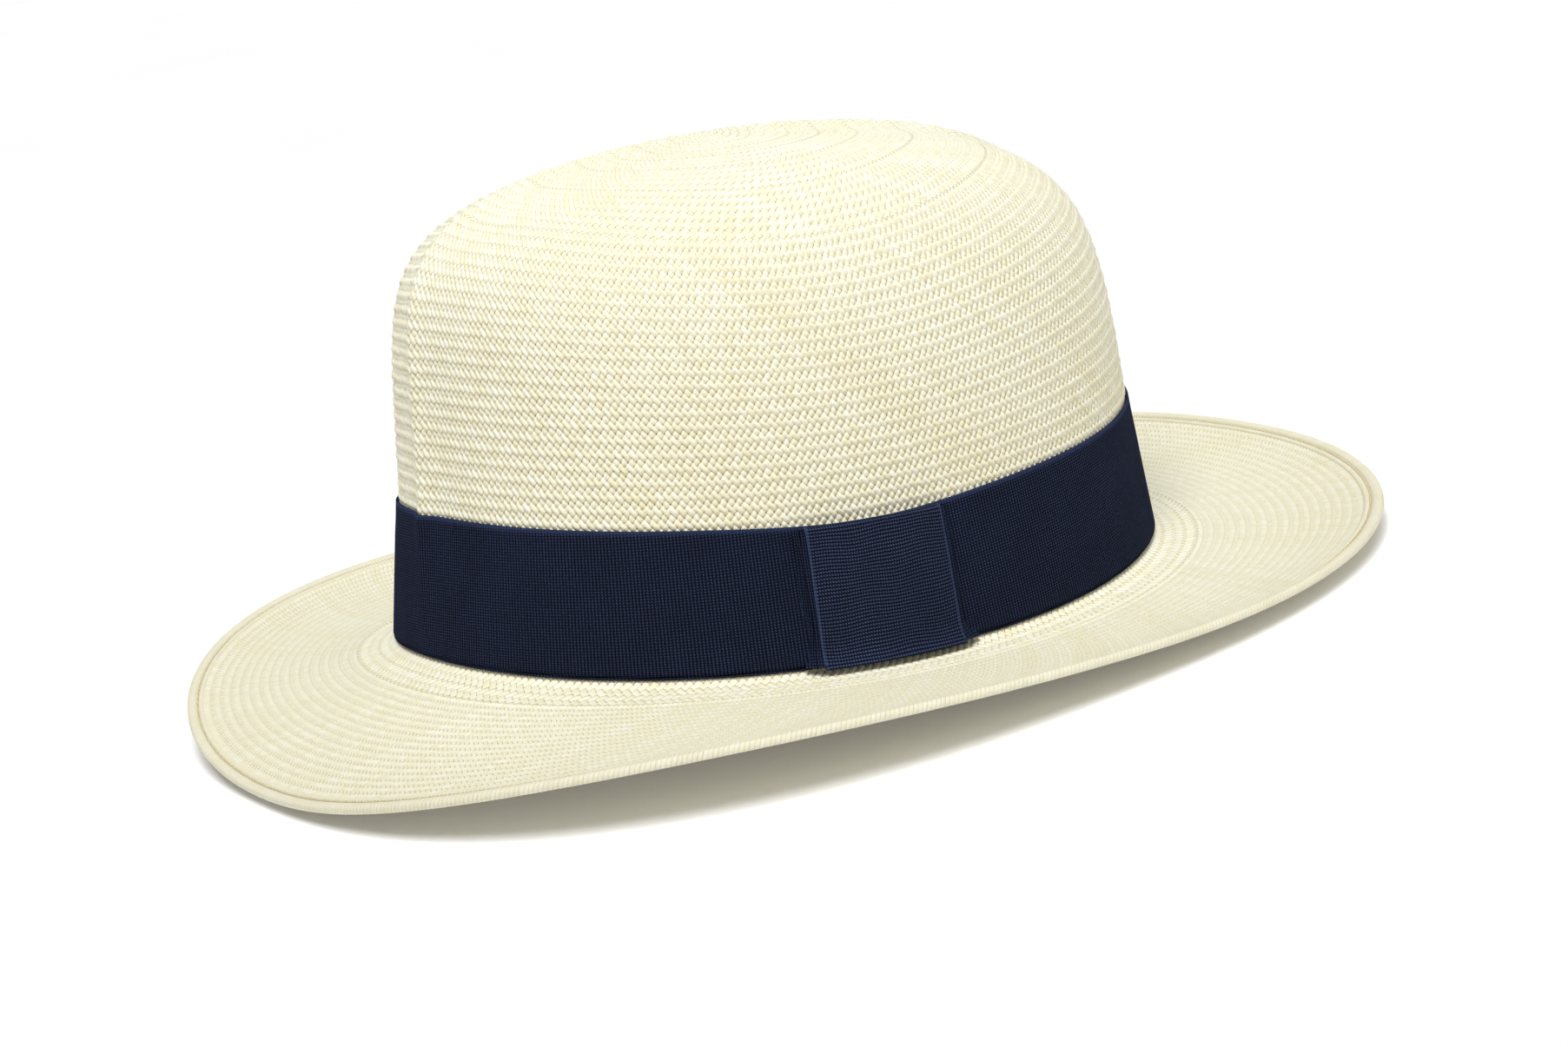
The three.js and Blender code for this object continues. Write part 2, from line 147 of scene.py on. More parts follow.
def brim_point(angle, share):
    """The brim's upper surface: share 0 is the break and 1 the edge."""
    root = wall_point(angle, 0.0)
    edge_x, edge_y = oval_point(angle, BRIM_HALF_WIDTH, BRIM_HALF_LENGTH, BRIM_SQUARENESS)
    s = np.sin(angle)
    edge_z = (
        BRIM_MEAN
        + BRIM_BACK_RISE * s
        + BRIM_SIDE_RISE * np.cos(2 * angle)
        - BRIM_FRONT_DIP * np.sin(3 * angle)
        - BRIM_CORNER_RISE * np.cos(4 * angle)
    )
    curl = BRIM_CURL * (1 - np.maximum(0, -s) ** 2)
    x = root[..., 0] + (edge_x - root[..., 0]) * share
    y = root[..., 1] + (edge_y - BRIM_FORWARD - root[..., 1]) * share
    z = root[..., 2] + (edge_z - root[..., 2]) * share**BRIM_BEND + curl * (share**3 - share)
    return points_of(x, y, z)


def smooth_point(angle, row):
    """The outer surface without its ridge. A row of 0 or more is a height up the crown in millimetres, and
    a row below 0 is minus a share of the brim. A rounded bend joins the two."""
    angle, row = np.broadcast_arrays(np.asarray(angle, float), np.asarray(row, float))
    wall = wall_point(angle, np.maximum(row, 0))
    brim = brim_point(angle, np.maximum(-row, 0))
    turned = np.where(row >= 0, 0.5 - 0.5 * row / FILLET_UP, 0.5 - 0.5 * row / FILLET_OUT)
    t = np.clip(turned, 0, 1)[..., None]
    above = wall_point(angle, FILLET_UP)
    corner = wall_point(angle, 0.0)
    below = brim_point(angle, FILLET_OUT)
    bend = (1 - t) ** 2 * above + 2 * t * (1 - t) * corner + t * t * below
    row = row[..., None]
    return np.where(row >= FILLET_UP, wall, np.where(row <= -FILLET_OUT, brim, bend))


def bell(value, width):
    return np.exp(-((value / width) ** 2))


def unit(vectors):
    return vectors / np.maximum(np.linalg.norm(vectors, axis=-1, keepdims=True), 1e-12)


def smooth_normal(angle, row):
    angle, row = np.broadcast_arrays(np.asarray(angle, float), np.asarray(row, float))
    turn = 0.004
    step = np.where(row < 0, 0.004, 0.4)
    along = smooth_point(angle + turn, row) - smooth_point(angle - turn, row)
    above = smooth_point(angle, np.minimum(row + step, CROWN_HEIGHT - 0.01))
    across = above - smooth_point(angle, row - step)
    normal = unit(np.cross(along, across))
    flat = np.linalg.norm(normal, axis=-1, keepdims=True) < 0.5
    return np.where(flat, STRAIGHT_UP, normal)


def ridge_lift(angle, row, x):
    """The ridge grows out of the ribbon at the front and fades down the back."""
    front = smoothstep(row, 0, RIDGE_FULL_HEIGHT)
    back = smoothstep(row, RIDGE_BACK_START, RIDGE_BACK_FULL)
    strength = np.where(np.sin(angle) < 0, front, back) * (row > 0)
    return RIDGE_HEIGHT * strength * np.exp(-(np.abs(x / RIDGE_HALF_WIDTH) ** RIDGE_CRISPNESS))


def outer_point(angle, row, outward=0.0):
    """The hat's outer surface, moved outward by a distance."""
    point = smooth_point(angle, row)
    lift = ridge_lift(angle, row, point[..., 0]) + outward
    return point + smooth_normal(angle, row) * lift[..., None]


def lean(points):
    """Tips points from the upright frame to the way the hat rests on its brim."""
    c, s = math.cos(REST_LEAN), math.sin(REST_LEAN)
    x, y, z = points[..., 0], points[..., 1], points[..., 2]
    return np.stack([x, c * y + s * z, c * z - s * y], axis=-1)


RIM_SAMPLES = 720
BRIM_ROWS = 80


def resting_offset():
    """How far the leaning hat moves so that its brim fits the CAD straw body, in millimetres."""
    angles = np.linspace(0, 2 * math.pi, RIM_SAMPLES, endpoint=False)
    rim = lean(outer_point(angles, -1.0, -HEM_THICKNESS / 2))
    rows = np.linspace(-1, 0, BRIM_ROWS)[None, :]
    thickness = np.where(rows <= -HEM_START, HEM_THICKNESS, STRAW_THICKNESS)
    under = lean(outer_point(angles[:, None], rows, -thickness))
    low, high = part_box("straw_body")
    y = (low[1] + high[1]) / 2 / MM - (rim[:, 1].min() + rim[:, 1].max()) / 2
    return np.array([0.0, y, low[2] / MM - under[..., 2].min()])


OFFSET = resting_offset()


def place(points):
    """From the upright frame in millimetres to the rest frame in metres."""
    return (lean(np.asarray(points, float)) + OFFSET) * MM


# ---- Even spacing round the hat and down its walls ----

AROUND = 1440
GIRTH_HEIGHT = 20.0


def travelled(points):
    """How far along its line of points each point lies."""
    steps = np.linalg.norm(np.diff(points, axis=-2), axis=-1)
    start = np.zeros((*steps.shape[:-1], 1))
    return np.concatenate([start, np.cumsum(steps, axis=-1)], axis=-1)


turns = np.linspace(0, 2 * math.pi, 4 * AROUND + 1)
girth_travel = travelled(wall_point(turns, GIRTH_HEIGHT))
GIRTH = girth_travel[-1]


def angle_at(share):
    """The angle that has gone an even share of the way round the crown. Shares may run past 0 and 1."""
    whole = np.floor(share)
    return np.interp((share - whole) * GIRTH, girth_travel, turns) + whole * 2 * math.pi


def share_at(angle):
    """The other way: the share of the way round that an angle has gone."""
    whole = np.floor(angle / (2 * math.pi))
    return np.interp(angle - whole * 2 * math.pi, turns, girth_travel) / GIRTH + whole


class Sheet:
    """Part of the hat's surface, looked up by shares: around it, and up it from its lower or outer edge."""

    def __init__(self, rows, count):
        angles = angle_at(np.arange(AROUND) / AROUND)[:, None]
        travel = travelled(smooth_point(angles, rows[None, :]))
        lifted = outer_point(angles, rows[None, :])
        even = np.linspace(0, 1, count)
        self.points = np.empty((AROUND, count, 3))
        for i in range(AROUND):
            for axis in range(3):
                self.points[i, :, axis] = np.interp(even * travel[i, -1], travel[i], lifted[i, :, axis])
        along = np.roll(self.points, -1, axis=0) - np.roll(self.points, 1, axis=0)
        across = np.gradient(self.points, axis=1)
        normals = np.cross(along, across)
        lengths = np.linalg.norm(normals, axis=-1, keepdims=True)
        self.normals = np.where(lengths > 1e-9, normals / np.maximum(lengths, 1e-9), STRAIGHT_UP)
        self.height = travel[:, -1].mean()
        rounds = np.roll(self.points, -1, axis=0) - self.points
        self.girths = np.linalg.norm(rounds, axis=2).sum(axis=0)

    def look_up(self, around, up, outward):
        i = np.floor(around * AROUND).astype(int)
        part_round = (around * AROUND - i)[:, None]
        last = self.points.shape[1] - 1
        place_up = np.clip(up, 0, 1) * last
        k = np.minimum(np.floor(place_up).astype(int), last - 1)
        part_up = (place_up - k)[:, None]
        i, j = i % AROUND, (i + 1) % AROUND

        def mixed(table):
            low = table[i, k] * (1 - part_round) + table[j, k] * part_round
            high = table[i, k + 1] * (1 - part_round) + table[j, k + 1] * part_round
            return low * (1 - part_up) + high * part_up

        return mixed(self.points) + unit(mixed(self.normals)) * outward[:, None]


CROWN_SAMPLES = 700
BRIM_SAMPLES = 300
WEAVE_START = RIBBON_WIDTH - 4
UNDER_HEM = 0.004
# Shares of the way up, closer together towards the top
EASED = 1 - np.linspace(1, 0, 900) ** 5
crown_sheet = Sheet(WEAVE_START + (CROWN_HEIGHT - WEAVE_START) * EASED, CROWN_SAMPLES)
brim_sheet = Sheet(np.linspace(-HEM_START - UNDER_HEM, 0, BRIM_SAMPLES), BRIM_SAMPLES)


# ---- Meshes ----


def finished(name, mesh, material, node):
    """Adds a piece that stands in for one CAD node."""
    piece = bpy.data.objects.new(name, mesh)
    bpy.context.scene.collection.objects.link(piece)
    mesh.materials.append(material)
    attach(piece, "root")
    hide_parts(node)
    return piece


def new_mesh(name, points, faces):
    """A smooth mesh from faces and points in the upright frame, which may come as a grid."""
    mesh = bpy.data.meshes.new(name)
    mesh.from_pydata(place(points).reshape(-1, 3), [], faces)
    mesh.polygons.foreach_set("use_smooth", [True] * len(mesh.polygons))
    mesh.update()
    return mesh


def add_values(mesh, name, values, domain="POINT"):
    kind, field = ("FLOAT_VECTOR", "vector") if values.shape[-1] == 3 else ("FLOAT", "value")
    layer = mesh.attributes.new(name, kind, domain)
    layer.data.foreach_set(field, np.asarray(values, np.float32).ravel())


def grid_faces(rows, columns, close_rows=False, close_columns=False):
    """Quads over a rows by columns grid of points, numbered row by row."""
    i = np.arange(rows if close_rows else rows - 1)[:, None]
    j = np.arange(columns if close_columns else columns - 1)[None, :]
    i2, j2 = (i + 1) % rows, (j + 1) % columns
    quads = np.stack([i * columns + j, i * columns + j2, i2 * columns + j2, i2 * columns + j], axis=-1)
    return quads.reshape(-1, 4)


def joined(parts):
    """Joins parts, each of them points, faces and values, and numbers the faces' points anew."""
    points, faces, *values = zip(*parts)
    points = [some.reshape(-1, 3) for some in points]
    starts = np.cumsum([0] + [len(some) for some in points])
    faces = [some + start for some, start in zip(faces, starts)]
    return [np.concatenate(table) for table in (points, faces, *values)]


# ---- Weave ----

# Strands meet at the base, in millimetres from the hat's outer surface, and rise over it by their relief
STRAW_BASE = -0.35
RING_HEIGHT = 0.3
BRIM_RELIEF = 0.34
CHEVRON_RELIEF = 0.36
CROWN_RELIEF_TO_PITCH = 0.4

# How full a strand is across and along, and how its height varies, in shares of its relief
ACROSS_FULLNESS = 2.4
ALONG_FULLNESS = 1.3
UNEVEN = 0.16
CREVICE = 0.5
CROWN_SHORT_RISE = 0.8
BRIM_SHORT_RISE = 0.35
JITTER = 0.1

# How much of a cell's tone comes from its whole strand, and how far apart the splits of strands are drawn
STRAND_TONE = 0.65
RUN_APART = 40
STRAND_APART = 7

# Which strand is on top, step by step, and where the lines of a cell's mesh run
CROWN_TWILL = "LLR"
BRIM_TWILL = "RRL"
CHEVRONS = "LLRR"
COARSE = (0, 1, 4, 5)
FINE = (0, 1, 2)
WIDE = (..., None, None)

CROWN_COLUMNS = 288
CROWN_PITCH_LEAST = 1.5
STEP_TO_PITCH = 0.6
FEWER = 0.75
COLUMNS_LEAST = 12


def runs_of(pattern):
    """For each step of a repeating pattern: the length of its run of one letter, and its place in the run."""
    size = len(pattern)
    start = next(k for k in range(size) if pattern[k] != pattern[k - 1])
    lengths, places = [0] * size, [0] * size
    k = start
    while k < start + size:
        run = 1
        while run < size and pattern[(k + run) % size] == pattern[k % size]:
            run += 1
        for n in range(run):
            lengths[(k + n) % size], places[(k + n) % size] = run, n
        k += run
    return np.array(lengths), np.array(places)


def pillow(share, fullness):
    return 1 - np.abs(2 * share - 1) ** fullness


def corners_of(table):
    """The values at the four corners of every small quad of every cell."""
    low, high = table[..., :-1, :], table[..., 1:, :]
    return np.stack([low[..., :-1], high[..., :-1], high[..., 1:], low[..., 1:]], axis=-1)


class Cells:
    """The cells of one ring of weave, row by row. Each lies where left-leaning strand a crosses
    right-leaning strand b, and shows the upper one: `spot` cells along its visible run of `run` cells."""

    def __init__(self, columns, steps, pattern):
        lengths, places = runs_of(pattern)
        shape = (steps + 1, columns)
        self.a = np.broadcast_to(np.arange(columns)[None, :], shape)
        self.row = np.broadcast_to(np.arange(-1, steps)[:, None], shape)
        self.b = self.row - self.a
        phase = self.row % len(pattern)
        self.left_on_top = np.array([letter == "L" for letter in pattern])[phase]
        self.run = lengths[phase]
        self.spot = places[phase]


def strand_values(cells, columns, steps):
    """A random value from -1 to 1 for each visible run, and one for the strand that it is part of."""
    first_row = cells.row - cells.spot
    first_a = np.where(cells.left_on_top, cells.a, cells.a - cells.spot) % columns
    by_run = random.uniform(-1, 1, (steps + 4, columns))[first_row + 3, first_a]
    left_strand = random.uniform(-1, 1, columns)[cells.a % columns]
    right_strand = random.uniform(-1, 1, columns)[cells.b % columns]
    return by_run, np.where(cells.left_on_top, left_strand, right_strand)


def nudged(cells, part_a, part_b, columns, steps):
    """Small random shifts of the places where strands cross, blended over each cell from its corners."""
    nudges = random.uniform(-JITTER, JITTER, (steps + 5, 2 * columns, 2))
    nudges[:3] = 0
    nudges[steps + 2 :] = 0
    moved = 0
    for da, db in ((0, 0), (1, 0), (0, 1), (1, 1)):
        row = np.clip(cells.row + da + db + 2, 0, steps + 4)
        turn = (cells.a - cells.b + da - db) % (2 * columns)
        weight = (part_a if da else 1 - part_a) * (part_b if db else 1 - part_b)
        moved = moved + nudges[row, turn][WIDE + (slice(None),)] * weight[..., None]
    return moved


def woven_ring(sheet, low, high, columns, steps, pattern, splits, relief, short_rise):
    """One ring of a diagonal weave between two heights of a sheet. Strands lean left and right and cross in
    cells half a column wide and a step high, and the pattern says which is on top, step by step. Gives the
    points, the faces and the values that the straw material reads."""
    cells = Cells(columns, steps, pattern)
    by_run, by_strand = strand_values(cells, columns, steps)

    fine = splits[-1]
    local = np.array(splits) / fine
    shape = (*cells.a.shape, len(splits), len(splits))
    part_a, part_b = (np.broadcast_to(part, shape) for part in np.meshgrid(local, local, indexing="ij"))
    on_left = cells.left_on_top[WIDE]
    run = cells.run[WIDE]
    across = np.where(on_left, part_a, part_b)
    along = (cells.spot[WIDE] + np.where(on_left, part_b, part_a)) / run
    rise = pillow(across, ACROSS_FULLNESS) * pillow(along, ALONG_FULLNESS + run)
    rise = rise * (1 + UNEVEN * by_run[WIDE]) * np.where(run == 1, short_rise, 1)
    corner = ((part_a == 0) | (part_a == 1)) & ((part_b == 0) | (part_b == 1))
    rise = np.where(corner, -CREVICE, rise)

    # neighbouring cells share their edge points, so points are numbered by where they lie in the ring
    round_size = 2 * fine * columns
    step_a = np.array(splits)[:, None]
    step_b = np.array(splits)[None, :]
    row_key = fine * cells.row[WIDE] + step_a + step_b
    turn_key = (fine * (cells.a - cells.b)[WIDE] + step_a - step_b) % round_size
    keys, index = np.unique((row_key + 2 * fine) * round_size + turn_key, return_inverse=True)
    index = index.reshape(shape)
    rises = np.zeros(keys.size)
    rises[index.ravel()] = rise.ravel()
    shifts = np.zeros((keys.size, 2))
    shifts[index.ravel()] = nudged(cells, part_a, part_b, columns, steps).reshape(-1, 2)

    # the ring ends in level edges at the height where its neighbours end too
    row_at = (keys // round_size - 2 * fine) / fine
    turn_at = (keys % round_size) / (2 * fine)
    inside = np.clip(row_at, 0, steps)
    free = np.clip(2 * np.minimum(inside, steps - inside), 0, 1)
    rises = rises * free + RING_HEIGHT / relief * (1 - free)
    around = (turn_at + shifts[:, 0] * free) / columns
    up = low + (high - low) * np.clip(inside + shifts[:, 1] * free, 0, steps) / steps
    points = sheet.look_up(around, up, STRAW_BASE + relief * rises)

    quads = corners_of(index)
    tones = STRAND_TONE * by_strand + (1 - STRAND_TONE) * by_run
    tones = np.broadcast_to(tones[WIDE], quads.shape[:-1]).reshape(-1)
    idents = by_run * RUN_APART + by_strand * STRAND_APART
    idents = np.broadcast_to(idents[WIDE], quads.shape[:-1]).reshape(-1)
    quads = quads.reshape(-1, 4)
    rows_of_quads = row_at[quads]
    kept = (rows_of_quads.max(axis=1) > TINY) & (rows_of_quads.min(axis=1) < steps - TINY)
    across_kept = corners_of(across).reshape(-1, 4)[kept]
    along_kept = corners_of(along).reshape(-1, 4)[kept]
    fibre = points_of(across_kept, along_kept, idents[kept][:, None])
    return points, quads[kept], tones[kept], fibre.reshape(-1, 3)


def woven_piece(name, rings, material):
    """Joins rings of weave into one mesh that stands for the straw body."""
    points, faces, tones, fibres = joined(rings)
    mesh = new_mesh(name, points, faces)
    add_values(mesh, "tone", tones, "FACE")
    add_values(mesh, "fibre", fibres, "CORNER")
    finished(name, mesh, material, "straw_body")


def crown_rings():
    """Rings of weave up the crown, each with fewer strands once they have crowded together."""
    ups = np.linspace(0, 1, crown_sheet.girths.size)
    columns, low = CROWN_COLUMNS, 0.0
    while low < 1:
        crowded = np.interp(-CROWN_PITCH_LEAST * columns, -crown_sheet.girths, ups)
        high = 1.0 if columns <= COLUMNS_LEAST else max(crowded, low + 0.01)
        pitch = np.interp((low + high) / 2, ups, crown_sheet.girths) / columns
        steps = max(3, round((high - low) * crown_sheet.height / (STEP_TO_PITCH * pitch)))
        relief = CROWN_RELIEF_TO_PITCH * pitch
        rise = CROWN_SHORT_RISE
        yield woven_ring(crown_sheet, low, high, columns, steps, CROWN_TWILL, COARSE, relief, rise)
        low = high
        columns = max(COLUMNS_LEAST, round(columns * FEWER / 4) * 4)


CHEVRON_STEPS = 9
CHEVRON_STEP = 1.45
BRIM_STEP = 0.95
BRIM_COLUMNS = 576
CHEVRON_COLUMNS = 288


def brim_rings():
    """Fine weave from the hem inward, then coarser chevrons next to the crown."""
    split = 1 - CHEVRON_STEPS * CHEVRON_STEP / brim_sheet.height
    steps = round(split * brim_sheet.height / BRIM_STEP)
    fine = (BRIM_TWILL, FINE, BRIM_RELIEF, BRIM_SHORT_RISE)
    yield woven_ring(brim_sheet, 0.0, split, BRIM_COLUMNS, steps, *fine)
    coarse = (CHEVRONS, COARSE, CHEVRON_RELIEF, CROWN_SHORT_RISE)
    yield woven_ring(brim_sheet, split, 1.0, CHEVRON_COLUMNS, CHEVRON_STEPS, *coarse)


# ---- Materials ----


class Nodes:
    """A node tree and short ways to add to it."""

    def __init__(self, tree):
        self.tree = tree

    def link(self, source, target):
        if hasattr(source, "is_output"):
            self.tree.links.new(source, target)
        else:
            target.default_value = source

    def add(self, kind, inputs=(), output=0, **settings):
        node = self.tree.nodes.new(kind)
        for key, value in settings.items():
            setattr(node, key, value)
        for socket, value in dict(inputs).items():
            self.link(value, node.inputs[socket])
        return node.outputs[output]

    def value(self, name):
        return self.add("ShaderNodeAttribute", output=2, attribute_name=name)

    def vector(self, name):
        return self.add("ShaderNodeAttribute", output=1, attribute_name=name)

    def place(self):
        return self.add("ShaderNodeTexCoord", output=3)

    def math(self, operation, a, b=0.0):
        return self.add("ShaderNodeMath", {0: a, 1: b}, operation=operation)

    def half_wave(self, turn):
        """A rounded hill for each whole turn."""
        return self.math("SINE", self.math("MULTIPLY", self.math("FRACT", turn), math.pi))

    def remap(self, value, low, high, to_low=0.0, to_high=1.0, smooth=False):
        kind = "SMOOTHSTEP" if smooth else "LINEAR"
        inputs = {0: value, 1: low, 2: high, 3: to_low, 4: to_high}
        return self.add("ShaderNodeMapRange", inputs, interpolation_type=kind)

    def mix(self, share, a, b):
        """Mixes two colours."""
        return self.add("ShaderNodeMix", {0: share, 6: a, 7: b}, output=2, data_type="RGBA")

    def noise(self, scale, detail=2.0, place=None, roughness=0.5):
        inputs = {"Scale": scale, "Detail": detail, "Roughness": roughness}
        inputs["Vector"] = self.place() if place is None else place
        return self.add("ShaderNodeTexNoise", inputs)

    def stretched(self, place, scales):
        return self.add("ShaderNodeVectorMath", {0: place, 1: scales}, operation="MULTIPLY")

    def parts(self, vector):
        node = self.tree.nodes.new("ShaderNodeSeparateXYZ")
        self.link(vector, node.inputs[0])
        return node.outputs

    def bump(self, height, distance, strength=1.0):
        inputs = {"Height": height, "Distance": distance, "Strength": strength}
        return self.add("ShaderNodeBump", inputs)


class Material(Nodes):
    """A new material, to be finished with its colour, roughness, shine and bumps."""

    def __init__(self, name):
        self.material = bpy.data.materials.new(name)
        self.material.use_nodes = True
        super().__init__(self.material.node_tree)
        self.surface = self.tree.nodes["Principled BSDF"]

    def finish(self, colour, roughness, specular, normal=None):
        self.link(colour, self.surface.inputs["Base Color"])
        self.link(roughness, self.surface.inputs["Roughness"])
        self.surface.inputs["Specular IOR Level"].default_value = specular
        if normal is not None:
            self.link(normal, self.surface.inputs["Normal"])
        return self.material


def rgb(red, green, blue):
    """A linear colour from screen values of 0 to 255."""

    def linear(value):
        value = value / 255
        return value / 12.92 if value <= 0.04045 else ((value + 0.055) / 1.055) ** 2.4

    return (linear(red), linear(green), linear(blue), 1.0)


STRAW_PALE = rgb(249, 247, 230)
STRAW_WARM = rgb(240, 233, 198)
# Painted shade: the tan of the crevices between strands, also used for the strands' split lines
STRAW_SHADE_AND_SPLIT_LINES = rgb(205, 186, 135)
# Painted shade: the brown of the holes where the corners of strands meet
STRAW_HOLE_SHADE = rgb(128, 102, 56)
# How much of the painted crevice shade shows along a strand's sides
SIDE_CREVICE_SHADE = 0.5


def straw_colour(nodes, crevice, hole_shade, tone):
    """Pale straw, warmer strand by strand. Painted shade makes it tan where crevice is 0 and brown where hole
    is 0.
    """
    patch = nodes.remap(nodes.noise(38.0, 3.0), 0.3, 0.7, -0.14, 0.14)
    warmth = nodes.remap(nodes.math("ADD", tone, patch), -1.1, 1.3, 0.0, 1.0)
    strand = nodes.mix(warmth, STRAW_PALE, STRAW_WARM)
    return nodes.mix(hole_shade, STRAW_HOLE_SHADE, nodes.mix(crevice, STRAW_SHADE_AND_SPLIT_LINES, strand))


def split_straw(name, edge, hole_shade):
    """Straw with fine splits along each strand. The two functions draw the painted shade in the crevices and
    in the holes.
    """
    nodes = Material(name)
    fibre = nodes.vector("fibre")
    across, along, _ = nodes.parts(fibre)
    splits = nodes.noise(1.0, 3.0, nodes.stretched(fibre, (9.0, 1.1, 1.0)), 0.65)
    crevices = edge(nodes, across, along)
    holes = hole_shade(nodes, across, along)
    colour = straw_colour(nodes, crevices, holes, nodes.value("tone"))
    # Split lines along each strand, in the same colour as the painted crevice shade
    line = nodes.remap(splits, 0.3, 0.55, 0.22, 0.0)
    colour = nodes.mix(line, colour, STRAW_SHADE_AND_SPLIT_LINES)
    roughness = nodes.remap(splits, 0.3, 0.7, 0.6, 0.46)
    return nodes.finish(colour, roughness, 0.35, nodes.bump(splits, 0.0002, 0.8))


def to_middle(nodes, share):
    """0 at whole numbers, rising to 1 half way between them."""
    return nodes.math("PINGPONG", nodes.math("MULTIPLY", share, 2.0), 1.0)


def cell_crevice_shade(nodes, across, along):
    """Painted shade in the crevices, strongest at a strand's ends and fainter along its sides."""
    sides = nodes.remap(to_middle(nodes, across), 0.0, 0.2, SIDE_CREVICE_SHADE, 1.0, smooth=True)
    ends = nodes.remap(to_middle(nodes, along), 0.0, 0.2, 0.0, 1.0, smooth=True)
    return nodes.math("MINIMUM", sides, ends)


def cell_hole_shade(nodes, across, along):
    """Painted shade in the holes: 0 where the corners of four strands meet."""
    ends = nodes.math("MULTIPLY", to_middle(nodes, along), 1.7)
    corner = nodes.math("ADD", to_middle(nodes, across), ends)
    return nodes.remap(corner, 0.06, 0.5, 0.0, 1.0, smooth=True)


def hem_crevice_shade(nodes, across, along):
    """Shallow painted shade in the crevices between the hem's strands, whatever the place along them."""
    return nodes.remap(to_middle(nodes, across), 0.0, 0.3, SIDE_CREVICE_SHADE, 1.0, smooth=True)


def hem_hole_shade(nodes, across, along):
    """Painted shade in the needle's holes, which the mesh carries."""
    return nodes.value("hole_shade")


def plain_straw():
    """The inside and the brim's underside: the same weave seen from its back, drawn by the material."""
    nodes = Material("plain_straw")
    u, v, _ = nodes.parts(nodes.vector("lattice"))
    alpha = nodes.math("ADD", v, u)
    beta = nodes.math("SUBTRACT", v, u)
    # Painted shade: tan near the crevices and brown at the holes between strands
    near = nodes.math("MINIMUM", to_middle(nodes, alpha), to_middle(nodes, beta))
    crevice = nodes.remap(near, 0.0, 0.36, 0.0, 1.0, smooth=True)
    corner = nodes.math("ADD", to_middle(nodes, alpha), to_middle(nodes, beta))
    hole_shade = nodes.remap(corner, 0.08, 0.45, 0.0, 1.0, smooth=True)
    cell = {0: nodes.math("FLOOR", alpha), 1: nodes.math("FLOOR", beta)}
    cells = nodes.add("ShaderNodeCombineXYZ", cell)
    cell_tone = nodes.add("ShaderNodeTexWhiteNoise", {0: cells}, noise_dimensions="3D")
    colour = straw_colour(nodes, crevice, hole_shade, nodes.remap(cell_tone, 0.0, 1.0, -0.8, 0.8))
    return nodes.finish(colour, 0.6, 0.3, nodes.bump(crevice, 0.00035))


# Painted shade down in the valleys between ribs
RIBBON_VALLEY_SHADE = rgb(8, 10, 19)
RIBBON_MID = rgb(15, 19, 32)
# Painted highlight on the thread dots and the selvage edges
RIBBON_HIGHLIGHT = rgb(51, 62, 95)
# The tab is the same ribbon as the band in lighter colours: painted light on the tab
TAB_LIT_MID = rgb(20, 24, 40)
TAB_HIGHLIGHT = rgb(68, 83, 120)
RIBBON_THREAD_PITCH = 0.7


def grosgrain(name, highlight_colour, mid_colour):
    """Navy ribbon. Each rib is a cord that fine threads pass over, every other rib half a thread along. The
    thread dots carry painted highlight and the valleys between ribs painted shade.
    """
    nodes = Material(name)
    rib, thread, selvage = nodes.parts(nodes.vector("rib"))
    odd = nodes.math("PINGPONG", nodes.math("FLOOR", rib), 1.0)
    offset = nodes.math("ADD", nodes.math("MULTIPLY", odd, 0.5), nodes.math("MULTIPLY", rib, 0.45))
    turn = nodes.math("ADD", offset, nodes.math("DIVIDE", thread, RIBBON_THREAD_PITCH))
    across = nodes.half_wave(rib)
    dot = nodes.math("MULTIPLY", across, nodes.half_wave(turn))
    fuzz = nodes.noise(2600.0, 2.0)
    fuzzy_dot = nodes.math("ADD", dot, nodes.remap(fuzz, 0.3, 0.7, -0.15, 0.15))
    # Painted highlight on the thread dots over the rib crowns
    dot_highlight = nodes.remap(fuzzy_dot, 0.4, 0.95)
    # Painted shade in the valleys between ribs
    ribs_with_valley_shade = nodes.mix(nodes.remap(across, 0.15, 0.75), RIBBON_VALLEY_SHADE, mid_colour)
    patch = nodes.remap(nodes.noise(60.0, 2.0), 0.3, 0.7, 0.7, 1.0)
    colour = nodes.mix(nodes.math("MULTIPLY", dot_highlight, patch), ribs_with_valley_shade, highlight_colour)
    # The selvage edges are mixed towards the painted highlight as well
    colour = nodes.mix(nodes.remap(selvage, 0.3, 1.0, 0.0, 0.55), colour, highlight_colour)
    return nodes.finish(colour, 0.85, 0.08, nodes.bump(dot, 0.00012))


def thread_material(name, dark, pale):
    """Twisted thread."""
    nodes = Material(name)
    wave = {"Vector": nodes.place(), "Scale": 900.0, "Distortion": 1.5}
    twist = nodes.add("ShaderNodeTexWave", wave, output=1, bands_direction="DIAGONAL")
    colour = nodes.mix(twist, dark, pale)
    return nodes.finish(colour, 0.75, 0.2, nodes.bump(twist, 0.0001))


